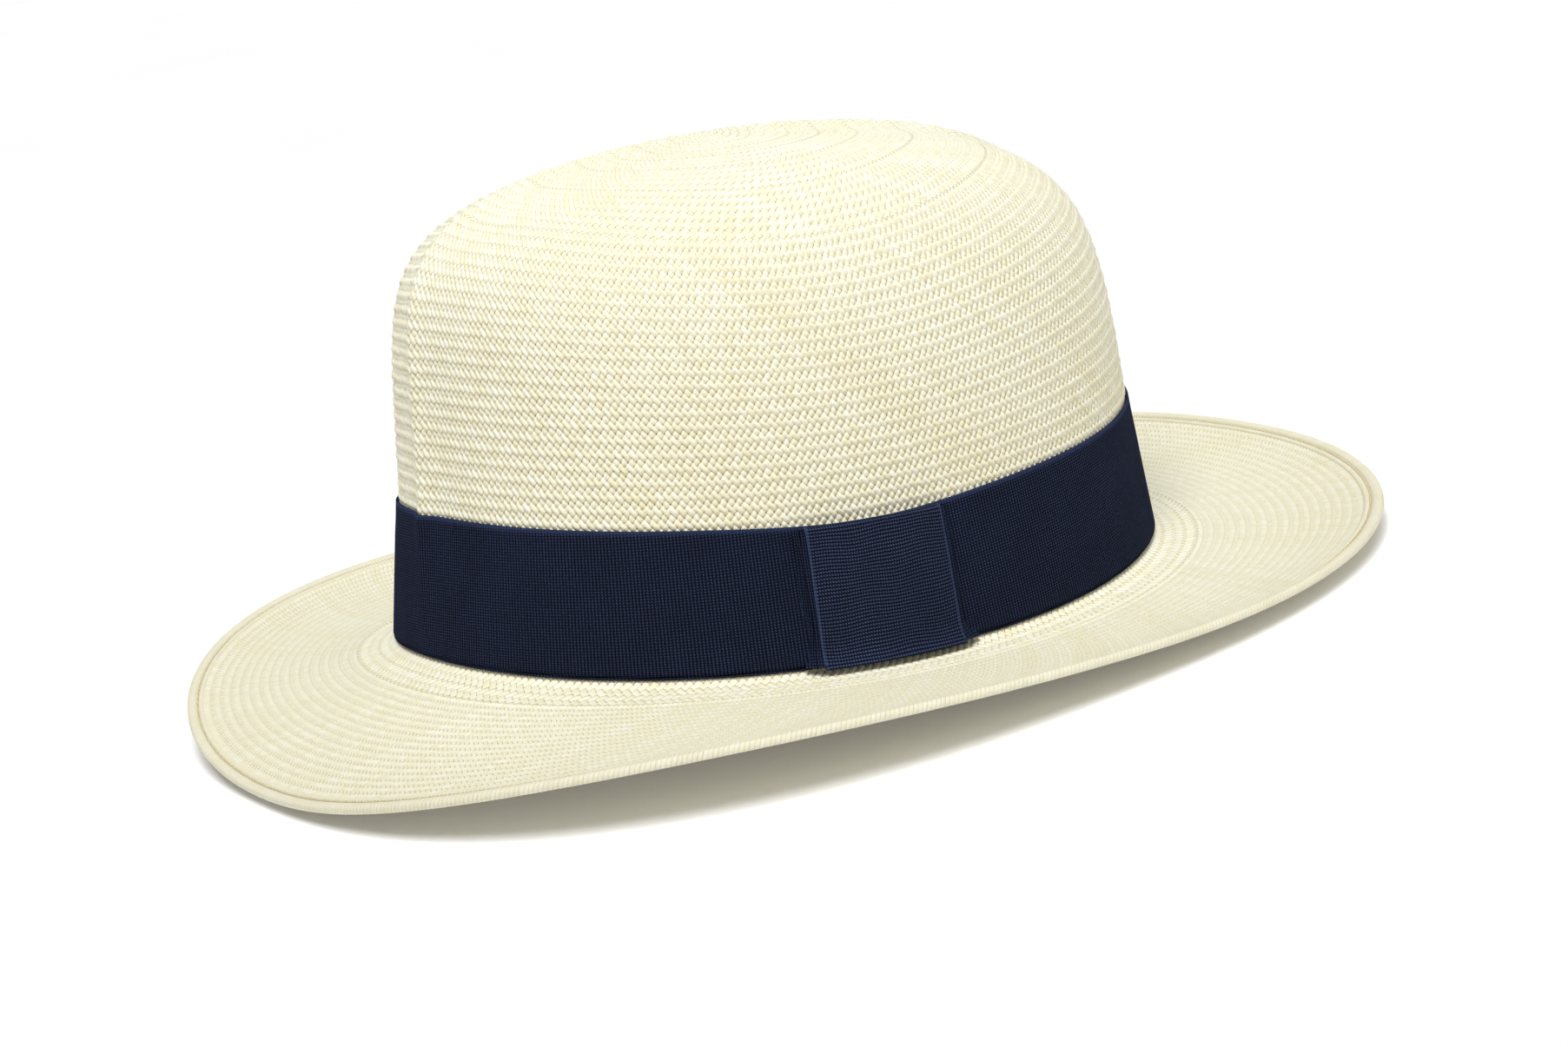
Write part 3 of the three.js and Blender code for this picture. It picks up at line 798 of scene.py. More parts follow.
def leather():
    """Thin natural sheepskin with a fine grain and a few soft creases."""
    nodes = Material("sheepskin")
    pebbles = {"Vector": nodes.place(), "Scale": 1500.0}
    grain = nodes.add("ShaderNodeTexVoronoi", pebbles, feature="DISTANCE_TO_EDGE")
    creases = nodes.noise(130.0, 4.0, nodes.stretched(nodes.place(), (1.0, 1.0, 4.0)))
    tone = nodes.remap(nodes.noise(25.0, 3.0), 0.3, 0.7)
    colour = nodes.mix(tone, rgb(214, 186, 138), rgb(196, 160, 108))
    # Darker along the creases: painted shade
    colour = nodes.mix(nodes.remap(creases, 0.56, 0.7, 0.0, 0.4), colour, rgb(160, 120, 74))
    height = nodes.math("ADD", nodes.math("MINIMUM", grain, 0.3), nodes.math("MULTIPLY", creases, 0.8))
    return nodes.finish(colour, nodes.remap(tone, 0.0, 1.0, 0.42, 0.55), 0.4, nodes.bump(height, 0.00018))


def plain_cloth(name, pale, dark, threads=1800.0):
    """Cream tape and label cloth: a plain weave too fine to model."""
    nodes = Material(name)
    x, y, z = nodes.parts(nodes.place())
    over = nodes.math("SINE", nodes.math("MULTIPLY", nodes.math("ADD", x, y), threads * 2))
    under = nodes.math("SINE", nodes.math("MULTIPLY", z, threads * 2))
    weave = nodes.remap(nodes.math("MULTIPLY", over, under), -1.0, 1.0)
    stain = nodes.remap(nodes.noise(45.0, 3.0), 0.35, 0.7, 0.0, 0.5)
    colour = nodes.mix(nodes.math("MULTIPLY", nodes.math("ADD", weave, stain), 0.5), pale, dark)
    return nodes.finish(colour, 0.85, 0.15, nodes.bump(weave, 0.00008))


def reed():
    """The springy plastic reed, slightly cloudy."""
    nodes = Material("reed_plastic")
    cloud = nodes.noise(70.0, 3.0)
    colour = nodes.mix(nodes.remap(cloud, 0.3, 0.7), rgb(240, 237, 226), rgb(224, 219, 202))
    return nodes.finish(colour, nodes.remap(cloud, 0.3, 0.7, 0.3, 0.42), 0.5, nodes.bump(cloud, 0.00005))


STRAW = split_straw("woven_straw", cell_crevice_shade, cell_hole_shade)
HEM_STRAW = split_straw("hem_straw", hem_crevice_shade, hem_hole_shade)
PLAIN_STRAW = plain_straw()
GROSGRAIN = grosgrain("grosgrain", RIBBON_HIGHLIGHT, RIBBON_MID)
# The band's ribbon again, painted lighter for the tab
LIT_TAB_GROSGRAIN = grosgrain("lit_tab_grosgrain", TAB_HIGHLIGHT, TAB_LIT_MID)
HEM_THREAD = thread_material("hem_thread", rgb(196, 176, 126), rgb(240, 228, 190))
NAVY_THREAD = thread_material("navy_thread", rgb(8, 11, 22), rgb(30, 36, 58))
LEATHER = leather()
TAPE = plain_cloth("cream_tape", rgb(238, 230, 208), rgb(205, 192, 160))
LABEL = plain_cloth("label_cloth", rgb(246, 243, 234), rgb(222, 217, 203), 2600.0)
REED = reed()


# ---- Straw ----

woven_piece("straw_crown_weave", crown_rings(), STRAW)
woven_piece("straw_brim_weave", brim_rings(), STRAW)

INSIDE_COLUMNS = 360
LINING_PITCH = 2.0


def straw_lining():
    """The straw that isn't modelled strand by strand: the strip behind the ribbon, the crown's inside and
    the brim's underside."""
    around = np.arange(INSIDE_COLUMNS + 1) / INSIDE_COLUMNS
    angles = angle_at(around)[:, None]
    under_ribbon = np.linspace(0.5, WEAVE_START + 0.5, 14)
    inside_wall = np.linspace(0, 1, 70)
    up = CROWN_HEIGHT * (1 - (1 - inside_wall) ** 5)
    underside = np.linspace(-HEM_START - 0.01, -0.01, 30)
    strips = [
        (under_ribbon, STRAW_BASE),
        (np.concatenate([underside, up[:-1]]), -STRAW_THICKNESS),
    ]
    parts = []
    for rows, outward in strips:
        strip = outer_point(angles, rows[None, :], outward)
        quads = grid_faces(angles.size, rows.size)
        quads = quads if outward == -STRAW_THICKNESS else quads[:, ::-1]
        v = travelled(strip[0])[None, :] / LINING_PITCH / STEP_TO_PITCH / 2
        lattice = points_of((around * CROWN_COLUMNS)[:, None], v, 0.0)
        parts.append((strip, quads, lattice.reshape(-1, 3)))
    points, faces, lattice = joined(parts)
    mesh = new_mesh("straw_lining", points, faces)
    add_values(mesh, "lattice", lattice)
    finished("straw_lining", mesh, PLAIN_STRAW, "straw_body")


straw_lining()

HEM_STRANDS = 820
HEM_COLUMNS = 4 * HEM_STRANDS
HEM_GROOVE = 0.955
HEM_STITCHES = 820
HEM_RELIEF = 0.07
HEM_SLANT = 0.3
HEM_WAVERS = 37
HEM_TONES = (-0.3, 0.4)
HEM_CORD_MIDDLE = 0.981
HEM_CORD_HALF = 0.0205
BRIM_REACH = 60


def hem_section():
    """The hem's cross section from under the brim's weave, over the edge and back beneath. Each point has
    its share of the brim, its height above the brim, and how much of the slanted relief it carries."""
    fold = [(0.926, -0.6, 0), (0.929, -0.1, 0), (0.9335, 0.12, 1), (0.9405, 0.18, 1), (0.9485, 0.1, 1)]
    groove = [(0.953, -0.22, 0.3), (HEM_GROOVE, -0.32, 0.1), (0.957, -0.22, 0.3)]
    cord = []
    for turn in np.linspace(math.pi, 0, 8):
        across = HEM_CORD_MIDDLE + HEM_CORD_HALF * math.cos(turn)
        cord.append((across, -0.25 + 0.55 * math.sin(turn), 1))
    edge = [(1.0045, -0.75, 1), (1.0035, -1.4, 1), (0.998, -1.9, 1), (0.985, -HEM_THICKNESS, 1)]
    beneath = [(0.965, -HEM_THICKNESS, 0.6), (0.94, -1.9, 0.6), (0.93, -1.5, 0.4), (0.926, -1.2, 0)]
    return np.array(fold + groove + cord + edge + beneath)


def straw_hem():
    """The turned edge, a rope of slanted strands with a stitched groove beside it."""
    section = hem_section()
    around = np.arange(HEM_COLUMNS) / HEM_COLUMNS
    angles = angle_at(around)[:, None]
    share = np.minimum(section[:, 0], 1)
    beyond = section[:, 0] - share
    rows = -share[None, :]
    direction = unit(smooth_point(angles, -1.0) - smooth_point(angles, -0.98))
    base = outer_point(angles, rows, section[None, :, 1]) + direction * (beyond * BRIM_REACH)[None, :, None]
    steps = np.hypot(np.diff(section[:, 0]) * BRIM_REACH, np.diff(section[:, 1]))
    travel = np.cumsum(np.concatenate([[0], steps]))
    slant = around[:, None] * HEM_STRANDS + travel[None, :] * HEM_SLANT
    wobble = 0.25 * np.sin(around * 2 * math.pi * HEM_WAVERS)[:, None]
    strand = pillow((slant + wobble) % 1, 2.5)
    normal = smooth_normal(angles, rows)
    away = unit(base - smooth_point(angles, -0.975) + normal * 0.9)
    relief = HEM_RELIEF * (strand - 0.5) * section[:, 2]
    points = base + away * relief[..., None]
    quads = grid_faces(HEM_COLUMNS, len(section), close_rows=True)[:, ::-1]
    mesh = new_mesh("straw_hem", points, quads)
    # Painted shade in the needle's holes along the stitched groove
    groove = bell(section[:, 0] - HEM_GROOVE, 0.003)[None, :] * (section[:, 1] > -1)
    hole_shade = bell((around * HEM_STITCHES) % 1 - 0.5, 0.2)[:, None]
    add_values(mesh, "hole_shade", 1 - groove * hole_shade)
    strand_at = np.floor(slant + wobble).astype(int) % HEM_STRANDS
    tones = random.uniform(*HEM_TONES, HEM_STRANDS)[strand_at]
    add_values(mesh, "tone", tones)
    add_values(mesh, "fibre", points_of(slant, travel[None, :], tones * RUN_APART))
    finished("straw_hem", mesh, HEM_STRAW, "straw_body")


straw_hem()


THREAD_SIDES = 6
THREAD_BLUNT_END = 0.35


def tubes(name, paths, ups, width, height, material, node):
    """Short rounded threads, one along each path. Ups point away from what they lie on."""
    paths, ups = np.asarray(paths), np.asarray(ups)
    stations = paths.shape[1]
    forward = unit(np.gradient(paths, axis=1))
    side = unit(np.cross(forward, ups))
    turn = np.linspace(0, 2 * math.pi, THREAD_SIDES, endpoint=False)
    swell = np.ones(stations)
    swell[[0, -1]] = THREAD_BLUNT_END
    ring = side[:, :, None, :] * np.cos(turn)[None, None, :, None] * width / 2
    ring = ring + ups[:, :, None, :] * np.sin(turn)[None, None, :, None] * height / 2
    points = paths[:, :, None, :] + ring * swell[None, :, None, None]
    one = grid_faces(stations, THREAD_SIDES, close_columns=True)
    all_points, faces = joined([(thread, one) for thread in points])
    finished(name, new_mesh(name, all_points, faces), material, node)


def hem_stitches():
    """Short stitches that sink into the groove at each end."""
    along = np.linspace(-0.4, 0.4, 5)
    shares = (np.arange(HEM_STITCHES)[:, None] + along[None, :]) / HEM_STITCHES
    angles = angle_at(shares)
    arch = 0.02 - 0.32 * (along / 0.4) ** 2
    paths = outer_point(angles, -HEM_GROOVE, arch[None, :])
    ups = smooth_normal(angles, -HEM_GROOVE)
    tubes("hem_stitches", paths, ups, 0.42, 0.3, HEM_THREAD, "brim_hem_thread")


hem_stitches()


# ---- Ribbon and bow ----

RIBS = 684
RIB_STEPS = 4
RIB_RELIEF = 0.12
KEEPER_RIB = 0.85
TAUT_PROUD = 0.8
TAUT_FROM_TO = (-0.3, 0.5)
SLACK = 0.06
SCALLOP = 0.12


def cord_shape(turn):
    """A row of rounded ribs, one for each whole turn."""
    return np.abs(np.sin(math.pi * turn)) ** 0.7


def ribbon_top(angle):
    """The ribbon's upper edge, which the bow's tab pulls down where it is sewn round the ribbon."""
    away = 2 * (1 - np.cos(angle - BOW_ANGLE))
    return RIBBON_WIDTH - BOW_PULL * np.exp(-away / BOW_PULL_SPREAD**2)


def taut_band(angles, rows, raised):
    """The ribbon's face: against the straw where the crown bulges, and straight from edge to edge where
    the crown is hollow."""
    surface = outer_point(angles, rows)
    normals = smooth_normal(angles, rows)
    low, high = surface[:, :1], surface[:, -1:]
    climbed = (surface[..., 2:] - low[..., 2:]) / (high[..., 2:] - low[..., 2:])
    straight = low + (high - low) * climbed
    snug = GAP + RIBBON_THICKNESS - RIB_RELIEF
    hollow = ((straight - surface) * normals).sum(axis=-1) + TAUT_PROUD - snug
    share = smoothstep(hollow, *TAUT_FROM_TO)[..., None]
    on_straw = surface + normals * (snug + raised)[..., None]
    pulled = straight + normals[:, -1:] * (TAUT_PROUD + raised)[..., None]
    return on_straw * (1 - share) + pulled * share


def ribbon_band():
    """The band: ribbed outside, smooth behind, with its first rib under the middle of the bow."""
    bow_share = share_at(BOW_ANGLE)
    turn = np.arange(RIBS * RIB_STEPS + 1) / RIB_STEPS
    angles = angle_at(bow_share + turn / RIBS)
    rib = cord_shape(turn)
    top = ribbon_top(angles)
    low = [RIBBON_LOWER_EDGE, -0.008, 0.0, 1.2, 2.4, 3.8, 5.4, FILLET_UP]
    share_up = np.arange(1, 17) / 16
    rows = [np.full(angles.shape, row) for row in low]
    rows += [FILLET_UP + (top - FILLET_UP) * share for share in share_up]
    rows = np.stack(rows, axis=1)
    slack = SLACK * np.sin(angles * 3 + 1)[:, None] * np.sin(rows / RIBBON_WIDTH * math.pi)
    scallop = SCALLOP * (rib - 0.6)
    rows[:, -1] += scallop
    rows[:, 0] -= scallop / BRIM_REACH
    relief = RIB_RELIEF * rib[:, None] * np.ones(rows.shape)
    relief[:, [0, -1]] *= 0.4
    front = taut_band(angles[:, None], rows, relief + slack)
    back_rows = np.concatenate([rows[:, :7:-4], rows[:, 7::-1]], axis=1)
    back = outer_point(angles[:, None], back_rows, GAP * 0.6)
    points = np.concatenate([front, back], axis=1)
    rows = np.concatenate([rows, back_rows], axis=1)
    columns = points.shape[1]
    quads = grid_faces(points.shape[0], columns, close_columns=True)[:, ::-1]
    mesh = new_mesh("ribbon", points, quads)
    length_up = np.where(rows < 0, rows * BRIM_REACH, rows)
    selvage = np.zeros(rows.shape)
    selvage[:, [0, len(low) + share_up.size - 1]] = 1
    add_values(mesh, "rib", points_of(turn[:, None], length_up, selvage))
    finished("ribbon", mesh, GROSGRAIN, "ribbon_band")


def ribbon_flare(height):
    """How far the ribbon's lower edge stands out over the rounded brim break."""
    climbed = np.sqrt(np.clip(height, 1, FILLET_UP) / FILLET_UP)
    return FLARE_REACH * (1 - climbed) ** 2


def bow_point(along, height, proud):
    """A place on the bow: along is towards the back of the hat, and proud is out from the ribbon's face."""
    angle = (BOW_CENTRE_Y + along) / CROWN_HALF_LENGTH
    outward = GAP + RIBBON_THICKNESS + GAP + ribbon_flare(height) + proud
    normal = smooth_normal(angle, np.maximum(height, FILLET_UP))
    return wall_point(angle, height) + normal * np.asarray(outward)[..., None]


def soft_waves(u, v):
    """Slight hand-made unevenness, from -1 to 1."""
    long_wave = 0.5 * np.sin(1.3 * u + 2.1 * v + 0.4)
    middle_wave = 0.3 * np.sin(2.9 * u - 1.7 * v + 1.1)
    short_wave = 0.2 * np.sin(5.1 * v - 3.3 * u)
    return long_wave + middle_wave + short_wave


BOW_TOP = RIBBON_WIDTH - BOW_PULL + GAP
KEEPER_PROUD = KEEPER_BACK + 3 * PLEAT_LAYER + 0.25 + KEEPER_THICKNESS
CRUMPLE = 0.35
RIB_SAG = 0.24
SIDE_DROP = 0.45


def bow_keeper():
    """The tab: ribbon laid over the pleats with its ribs level, folded under at the top and bottom."""
    half = KEEPER_HALF_WIDTH
    along = np.linspace(-half, half, 76)
    ribs = round((BOW_TOP - BOW_BOTTOM) / KEEPER_RIB)
    steps = np.arange(ribs * RIB_STEPS + 1) / RIB_STEPS
    up_face = BOW_BOTTOM + 0.1 + (BOW_TOP - BOW_BOTTOM - 0.2) * steps / ribs
    rib = cord_shape(steps)
    edge = np.minimum(steps, ribs - steps)
    rounded = -0.55 * np.exp(-(ribs - steps) * 1.6) - 1.1 * np.exp(-steps / 1.3)
    s, h = np.meshgrid(along / half, up_face / BOW_TOP, indexing="ij")
    crumple = CRUMPLE * soft_waves(2.2 * s, 3.1 * h) * (1 - s**2) * np.sin(h * math.pi)
    sag = RIB_SAG * (np.sin(4.2 * s + 7 * h) + 0.5 * np.sin(9 * s - 5 * h))
    proud = KEEPER_PROUD + rounded[None, :] + RIB_RELIEF * (rib - 1)[None, :] + crumple
    proud -= SIDE_DROP * np.abs(s) ** 14
    heights = up_face[None, :] + sag * np.clip(edge / 3, 0, 1)[None, :]
    face = bow_point(along[:, None], heights, proud)
    low_turn = bow_point(along[:, None], BOW_BOTTOM + np.array([0.8, 0.05, -0.15]), np.array([0.3, 0.9, 1.9]))
    top_turn = bow_point(along[:, None], BOW_TOP + np.array([0.1, -0.05, -0.9]), np.array([2.0, 0.9, 0.2]))
    points = np.concatenate([low_turn, face, top_turn], axis=1)
    cells = grid_faces(points.shape[0], points.shape[1])[:, ::-1]
    mesh = new_mesh("bow_tab", points, cells)
    rib_at = np.concatenate([[-3, -2, -1], steps, [ribs + 1, ribs + 2, ribs + 3]])
    selvage = smoothstep(np.abs(along), half - 0.9, half - 0.3)
    add_values(mesh, "rib", points_of(rib_at[None, :], along[:, None], selvage[:, None]))
    tab = finished("bow_tab", mesh, LIT_TAB_GROSGRAIN, "bow_keeper")
    thicken(tab, KEEPER_THICKNESS * 0.8)


def thicken(piece, thickness):
    """Gives a sheet its thickness, inward."""
    modifier = piece.modifiers.new("thickness", "SOLIDIFY")
    modifier.thickness = thickness * MM
    modifier.offset = -1
    bpy.context.view_layer.objects.active = piece
    with bpy.context.temp_override(object=piece, active_object=piece, selected_objects=[piece]):
        bpy.ops.object.modifier_apply(modifier=modifier.name)


PLEAT_EDGES = (21.7, 20.8, 19.9)
PLEAT_INNER = KEEPER_HALF_WIDTH - 6
PLEAT_RIB = 0.62
PLEAT_SPREAD = 2.2
PLEAT_SPREAD_HEIGHT = 13
PLEAT_STIFFER = 0.28
PLEAT_WANDER = 0.18


def bow_pleats():
    """Three layers of folded ribbon whose edges show beside the tab and spread apart towards the brim."""
    heights = np.linspace(BOW_BOTTOM + 0.6, BOW_TOP - 0.5, 40)
    parts = []
    for layer, edge in enumerate(PLEAT_EDGES):
        for side in (-1, 1):
            flat = np.linspace(PLEAT_INNER, edge - 0.3, 28)
            across = np.concatenate([flat, edge + np.array([-0.1, 0.0, -0.05, -0.25])])
            rib = across / PLEAT_RIB
            turned_in = np.concatenate([np.zeros(flat.size), [-0.05, -0.22, -0.42, -0.55]])
            rise = turned_in + 0.1 * np.abs(np.sin(math.pi * rib))
            near_brim = np.clip(1 - heights / PLEAT_SPREAD_HEIGHT, 0, 1) ** 2
            spread = PLEAT_SPREAD * (1 - layer * PLEAT_STIFFER) * near_brim
            wander = PLEAT_WANDER * np.sin(heights / 5.5 + 2 * layer + side)
            free = np.clip((across - PLEAT_INNER) / 5, 0, 1)
            out = across[None, :] + (spread + wander)[:, None] * free[None, :]
            proud = KEEPER_BACK + PLEAT_LAYER * (layer + 0.9) + rise[None, :]
            sheet = bow_point(side * out, heights[:, None], proud)
            quads = grid_faces(*sheet.shape[:2])[:, ::-side]
            ribs = points_of(rib[None, :], heights[:, None], 0.0)
            parts.append((sheet, quads, ribs.reshape(-1, 3)))
    points, faces, ribs = joined(parts)
    mesh = new_mesh("bow_folds", points, faces)
    add_values(mesh, "rib", ribs)
    finished("bow_folds", mesh, GROSGRAIN, "bow_pleats")


TACK_LENGTH = 2.5
TACK_TOP = RIBBON_WIDTH - 0.6
TACK_OUT = 1.0
TACK_ARCH = 0.28


def ribbon_tack(side, angle):
    """Two short hand stitches across the ribbon's top edge."""
    paths, ups = [], []
    rise = np.linspace(0, 1, 7)
    for beside in (-0.35, 0.35):
        place_round = angle + beside / CROWN_HALF_LENGTH
        rows = TACK_TOP - TACK_LENGTH * (1 - rise)
        outward = TACK_OUT + TACK_ARCH * np.sin(rise * math.pi)
        paths.append(outer_point(place_round, rows, outward))
        ups.append(smooth_normal(place_round, rows))
    tubes(f"tack_{side}", paths, ups, 0.4, 0.34, NAVY_THREAD, f"ribbon_tack_{side}")


ribbon_band()
bow_keeper()
bow_pleats()
for side, degrees in (("front", -80), ("right", 180), ("back", 80)):
    ribbon_tack(side, math.radians(degrees))


# ---- Sweatband ----

BAND_BOTTOM = 5
BAND_TOP = 40
BAND_INWARD = 0.95
BAND_THICKNESS = 1
BAND_STITCH_HEIGHT = 6.8
BAND_STITCHES = 260
BACK_OPENING = 2
SEAM_TAPE_HALF_WIDTH = 11
LABEL_HALF_WIDTH = 7
LABEL_BESIDE = 24


def inside_shell(name, outline, angles, material, node, closed=False):
    """A strip inside the crown. Its outline is (inward from the straw, height above the break) all round."""
    inward, height = (np.array(values, float) for values in zip(*outline))
    points = wall_point(angles[:, None], height[None, :], STRAW_THICKNESS + inward[None, :])
    quads = grid_faces(len(angles), len(outline), close_rows=closed, close_columns=True)
    faces = [list(quad) for quad in quads]
    if not closed:
        last = (len(angles) - 1) * len(outline)
        faces.append(list(range(len(outline))))
        faces.append([last + k for k in reversed(range(len(outline)))])
    finished(name, new_mesh(name, points, faces), material, node)


def rounded_strip(inward, thickness, bottom, top, steps):
    """A thin strip's outline with soft edges."""
    half = thickness / 2
    middle = inward + half
    turns_up = np.linspace(math.pi, 0, 5)
    cap_top = [(middle + half * math.cos(t), top - half + half * math.sin(t)) for t in turns_up]
    cap_low = [(middle - half * math.cos(t), bottom + half - half * math.sin(t)) for t in turns_up]
    climb = np.linspace(bottom + thickness, top - thickness, steps)
    left = [(inward, h) for h in climb]
    right = [(inward + thickness, h) for h in reversed(climb)]
    return left + cap_top + right + cap_low


def sweatband():
    """The leather, which is open at the back where its ends meet."""
    opening = BACK_OPENING / 2 / CROWN_HALF_WIDTH
    angles = np.linspace(BACK + opening, BACK + 2 * math.pi - opening, 361)
    outline = rounded_strip(BAND_INWARD, BAND_THICKNESS, BAND_BOTTOM, BAND_TOP, 8)
    inside_shell("sweatband_leather", outline, angles, LEATHER, "sweatband")


FULL_TURN = np.linspace(0, 2 * math.pi, 360, endpoint=False)


def sweatband_tape():
    """The tape's section folds round the reed and holds the leather's lower edge."""
    fold = [(0.3, 9), (0.6, 9), (0.6, 0.6), (0.9, 0.2), (1.8, 0.2), (2.1, 0.6), (2.1, 4.2), (2.4, 4.2)]
    fold += [(2.4, 0.4), (2.0, -0.15), (0.7, -0.15), (0.3, 0.4)]
    inside_shell("sweatband_binding_tape", fold, FULL_TURN, TAPE, "sweatband_binding", closed=True)


def sweatband_reed():
    outline = rounded_strip(0.9, 0.85, 0.6, 3.4, 3)
    inside_shell("reed", outline, FULL_TURN, REED, "sweatband_reed", closed=True)


def band_stitches():
    """The stitch line that joins the leather to its tape."""
    along = np.linspace(-0.36, 0.36, 5)
    angles = angle_at((np.arange(BAND_STITCHES)[:, None] + along[None, :]) / BAND_STITCHES)
    inward = STRAW_THICKNESS + BAND_INWARD + BAND_THICKNESS + 0.22 - 0.25 * (along / 0.36) ** 2
    paths = wall_point(angles, BAND_STITCH_HEIGHT, inward[None, :])
    ups = -smooth_normal(angles, 12.0)
    tubes("sweatband_stitches", paths, ups, 0.45, 0.35, HEM_THREAD, "sweatband_thread")


def seam_tape():
    half = SEAM_TAPE_HALF_WIDTH / CROWN_HALF_WIDTH
    outline = rounded_strip(0.3, 0.3, 9.3, 38, 4)
    angles = np.linspace(BACK - half, BACK + half, 24)
    inside_shell("seam_tape", outline, angles, TAPE, "sweatband_seam_tape")


def size_label():
    half = LABEL_HALF_WIDTH / CROWN_HALF_WIDTH
    centre = BACK - LABEL_BESIDE / CROWN_HALF_WIDTH
    outline = rounded_strip(0.3, 0.3, 28, 46, 4)
    angles = np.linspace(centre - half, centre + half, 16)
    inside_shell("label", outline, angles, LABEL, "size_label")


LACE_HEIGHT = 21.0
LACE_WIDTH = 2.6
LACE_STANDS_OFF = 1.2
LOOP_REACH = 10.5
LOOP_HALF_HEIGHT = 3.0
TAIL_DROP = 8.5


def band_bow():
    """The little bow over the leather's ends: two loops, two tails and a knot of narrow ribbon."""
    t = np.linspace(0, 1, 22)
    turn = t * 2 * math.pi
    strokes = []
    for side in (-1, 1):
        swing = np.sin(t * math.pi)
        loop = points_of(side * LOOP_REACH * swing, LOOP_HALF_HEIGHT * np.sin(turn), 1.1 * swing)
        tail = points_of(side * (1 + 5.2 * t), -TAIL_DROP * t, 0.5 * np.sin(t * 5))
        strokes += [loop, tail]
    strokes.append(points_of(0.0, 1.8 * np.cos(turn), 0.7 + 0.8 * np.sin(turn)))
    parts = []
    face = wall_point(BACK, LACE_HEIGHT, STRAW_THICKNESS + BAND_INWARD + BAND_THICKNESS)
    for number, stroke in enumerate(strokes):
        forward = unit(np.gradient(stroke, axis=0))
        knot = number == len(strokes) - 1
        across = np.cross([1.0, 0.0, 0.0] if knot else STRAIGHT_UP, forward)
        side = unit(np.cross(forward, across) if knot else across) * LACE_WIDTH / 2
        edges = np.stack([stroke - side, stroke, stroke + side], axis=1)
        lace = points_of(edges[..., 0], face[1] - LACE_STANDS_OFF - edges[..., 2], face[2] + edges[..., 1])
        parts.append((lace, grid_faces(len(t), 3)))
    points, faces = joined(parts)
    mesh = new_mesh("bow_of_band", points, faces)
    bow = finished("bow_of_band", mesh, TAPE, "sweatband_bow")
    thicken(bow, 0.3)


sweatband()
sweatband_tape()
sweatband_reed()
band_stitches()
seam_tape()
size_label()
band_bow()


# ---- Floor, light and camera ----

WHITE = (1.0, 1.0, 1.0, 1.0)
FLOOR_HALF_SIZE = 14
FLOOR_GLOW = 0.08
SHADED_SIDE = (-0.83, -0.55, 0.0)
SHADED_FROM_TO = (0.1, 0.75)
SKY_BRIGHT = 0.4
SKY_DIM = 0.1
KEY_STRENGTH = 2.35
KEY_SOFTNESS = math.radians(35)
KEY_AZIMUTH = math.radians(58)
KEY_ELEVATION = math.radians(66)
TOP_LIGHT_POWER = 66
TOP_LIGHT_COLOUR = (0.78, 0.88, 1.0)
TOP_LIGHT_AZIMUTH = math.radians(62)
TOP_LIGHT_ELEVATION = math.radians(74)
TOP_LIGHT_DISTANCE = 1.3
TOP_LIGHT_CONE = math.radians(10)
TOP_LIGHT_RADIUS = 0.15
TOP_LIGHT_TARGET = (0.0, 0.0, 0.112)


def floor():
    reach = FLOOR_HALF_SIZE
    corners = [(-reach, -reach, 0), (reach, -reach, 0), (reach, reach, 0), (-reach, reach, 0)]
    mesh = bpy.data.meshes.new("floor")
    mesh.from_pydata(corners, [], [(0, 1, 2, 3)])
    plane = bpy.data.objects.new("floor", mesh)
    bpy.context.scene.collection.objects.link(plane)
    nodes = Material("floor_paper")
    colour = nodes.mix(nodes.remap(nodes.noise(3.0, 2.0), 0.3, 0.7), rgb(246, 246, 246), rgb(249, 249, 249))
    mesh.materials.append(nodes.finish(colour, 0.9, 0.1))
    nodes.surface.inputs["Emission Color"].default_value = WHITE
    nodes.surface.inputs["Emission Strength"].default_value = FLOOR_GLOW


def add_lamp(data, azimuth, elevation, target, distance):
    """Sets a lamp at a distance from its target, and turns it to face the target."""
    lamp = bpy.data.objects.new(data.name, data)
    side = math.cos(elevation)
    towards = Vector((side * math.sin(azimuth), -side * math.cos(azimuth), math.sin(elevation)))
    lamp.location = Vector(target) + towards * distance
    lamp.rotation_euler = towards.to_track_quat("Z", "Y").to_euler()
    bpy.context.scene.collection.objects.link(lamp)


def soft_key():
    """A broad soft key, high on the camera's side."""
    data = bpy.data.lights.new("soft_key", "SUN")
    data.energy = KEY_STRENGTH
    data.angle = KEY_SOFTNESS
    add_lamp(data, KEY_AZIMUTH, KEY_ELEVATION, (0, 0, 0), 2)


def top_light():
    """A narrow cone with a soft edge that brightens the top of the crown."""
    data = bpy.data.lights.new("top_light", "SPOT")
    data.energy = TOP_LIGHT_POWER
    data.color = TOP_LIGHT_COLOUR
    data.spot_size = TOP_LIGHT_CONE
    data.spot_blend = 1.0
    data.shadow_soft_size = TOP_LIGHT_RADIUS
    add_lamp(data, TOP_LIGHT_AZIMUTH, TOP_LIGHT_ELEVATION, TOP_LIGHT_TARGET, TOP_LIGHT_DISTANCE)


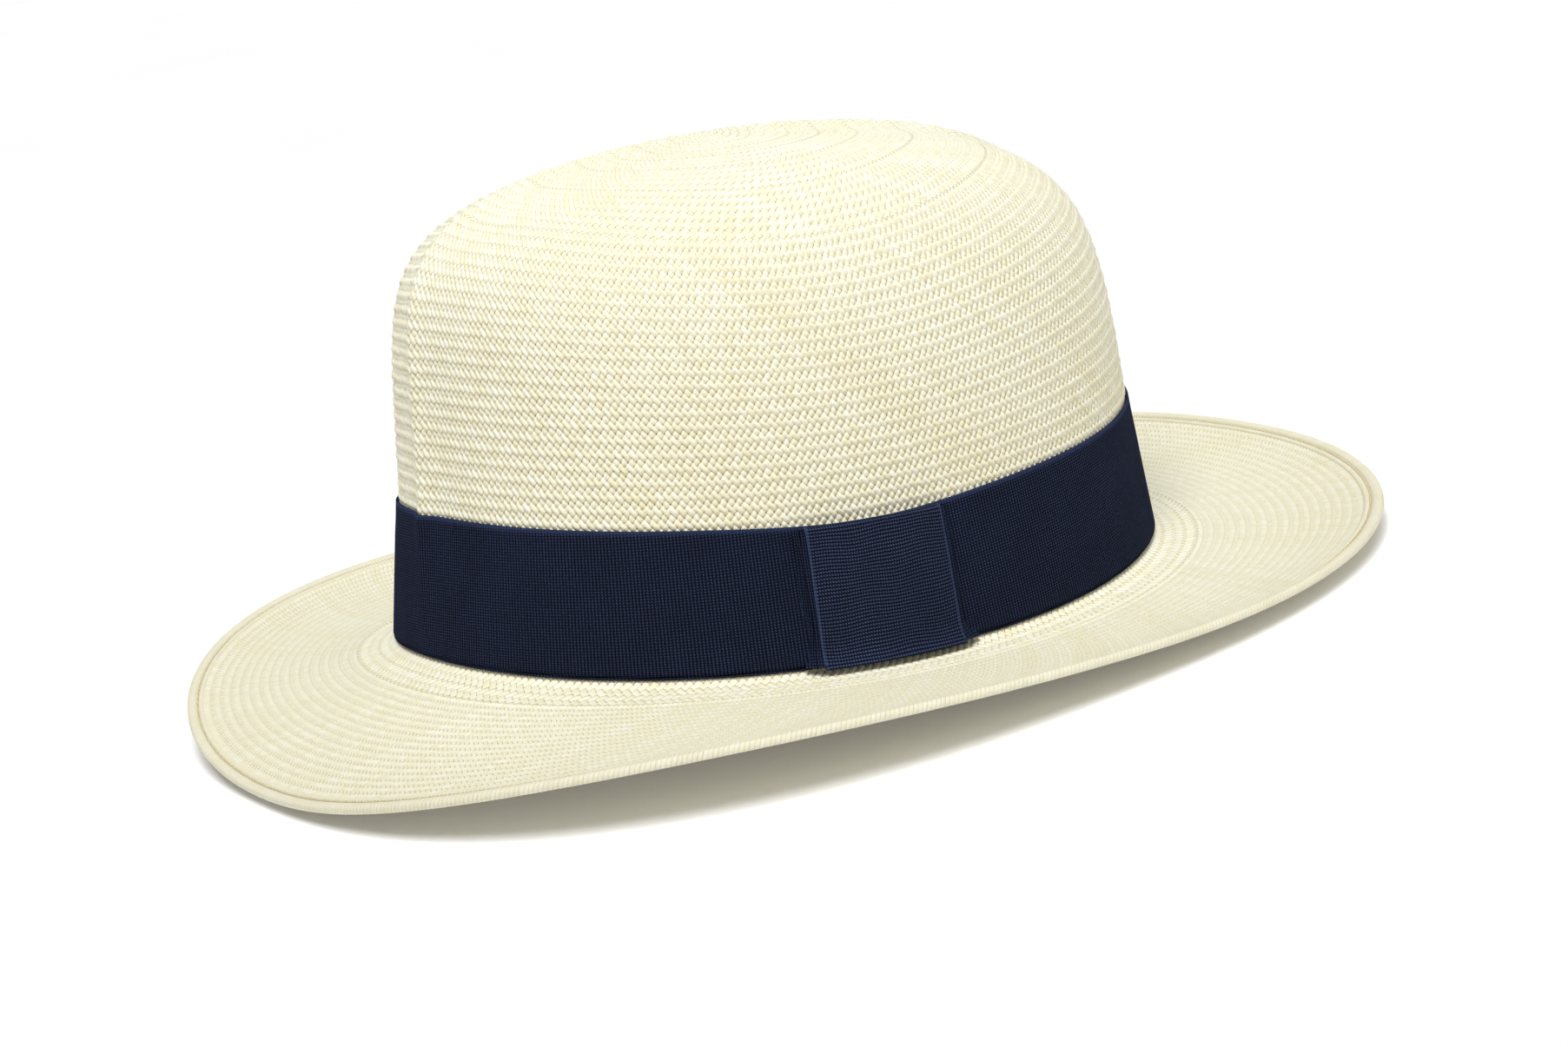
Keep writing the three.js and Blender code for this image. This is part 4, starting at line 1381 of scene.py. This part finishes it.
def studio():
    """Soft light from all round, dimmer from one side, in front of a plain white backdrop."""
    world = bpy.data.worlds.new("studio")
    world.use_nodes = True
    nodes = Nodes(world.node_tree)
    direction = nodes.add("ShaderNodeTexCoord")
    sides = {0: direction, 1: SHADED_SIDE}
    towards = nodes.add("ShaderNodeVectorMath", sides, output=1, operation="DOT_PRODUCT")
    strength = nodes.remap(towards, *SHADED_FROM_TO, SKY_BRIGHT, SKY_DIM)
    light = nodes.add("ShaderNodeBackground", {"Color": WHITE, "Strength": strength})
    backdrop = nodes.add("ShaderNodeBackground", {"Color": WHITE})
    seen = nodes.add("ShaderNodeLightPath")
    chosen = nodes.add("ShaderNodeMixShader", {0: seen, 1: light, 2: backdrop})
    nodes.link(chosen, nodes.tree.nodes["World Output"].inputs["Surface"])
    bpy.context.scene.world = world
    soft_key()
    top_light()
    bpy.context.scene.view_settings.view_transform = "Standard"


CAMERA_AZIMUTH = math.radians(60.086)
CAMERA_ELEVATION = math.radians(12.367)
CAMERA_ROLL = math.radians(7.123)
CAMERA_DISTANCE = 918.288
CAMERA_TARGET = (0.0, 0.0, 3.39)
CAMERA_LENS = 77.77
CAMERA_SHIFT = (0.0036, 0.0323)


def camera():
    """The camera is set in the hat's upright frame and then leans with it."""
    ca, sa = math.cos(CAMERA_AZIMUTH), math.sin(CAMERA_AZIMUTH)
    ce, se = math.cos(CAMERA_ELEVATION), math.sin(CAMERA_ELEVATION)
    back = np.array([sa * ce, -ca * ce, se])
    right = np.array([ca, sa, 0.0])
    up = np.cross(back, right)
    cr, sr = math.cos(CAMERA_ROLL), math.sin(CAMERA_ROLL)
    rolled_right = right * cr - up * sr
    rolled_up = right * sr + up * cr
    axes = lean(np.stack([rolled_right, rolled_up, back]))
    data = bpy.data.cameras.new("camera")
    data.lens = CAMERA_LENS
    data.sensor_width = 36
    data.shift_x, data.shift_y = CAMERA_SHIFT
    data.clip_start, data.clip_end = 0.05, 60
    eye = bpy.data.objects.new("camera", data)
    bpy.context.scene.collection.objects.link(eye)
    turned = Matrix([list(axis) for axis in axes]).transposed().to_4x4()
    where = place(np.array(CAMERA_TARGET) + back * CAMERA_DISTANCE)
    eye.matrix_world = Matrix.Translation(Vector(where)) @ turned
    bpy.context.scene.camera = eye


floor()
studio()
camera()
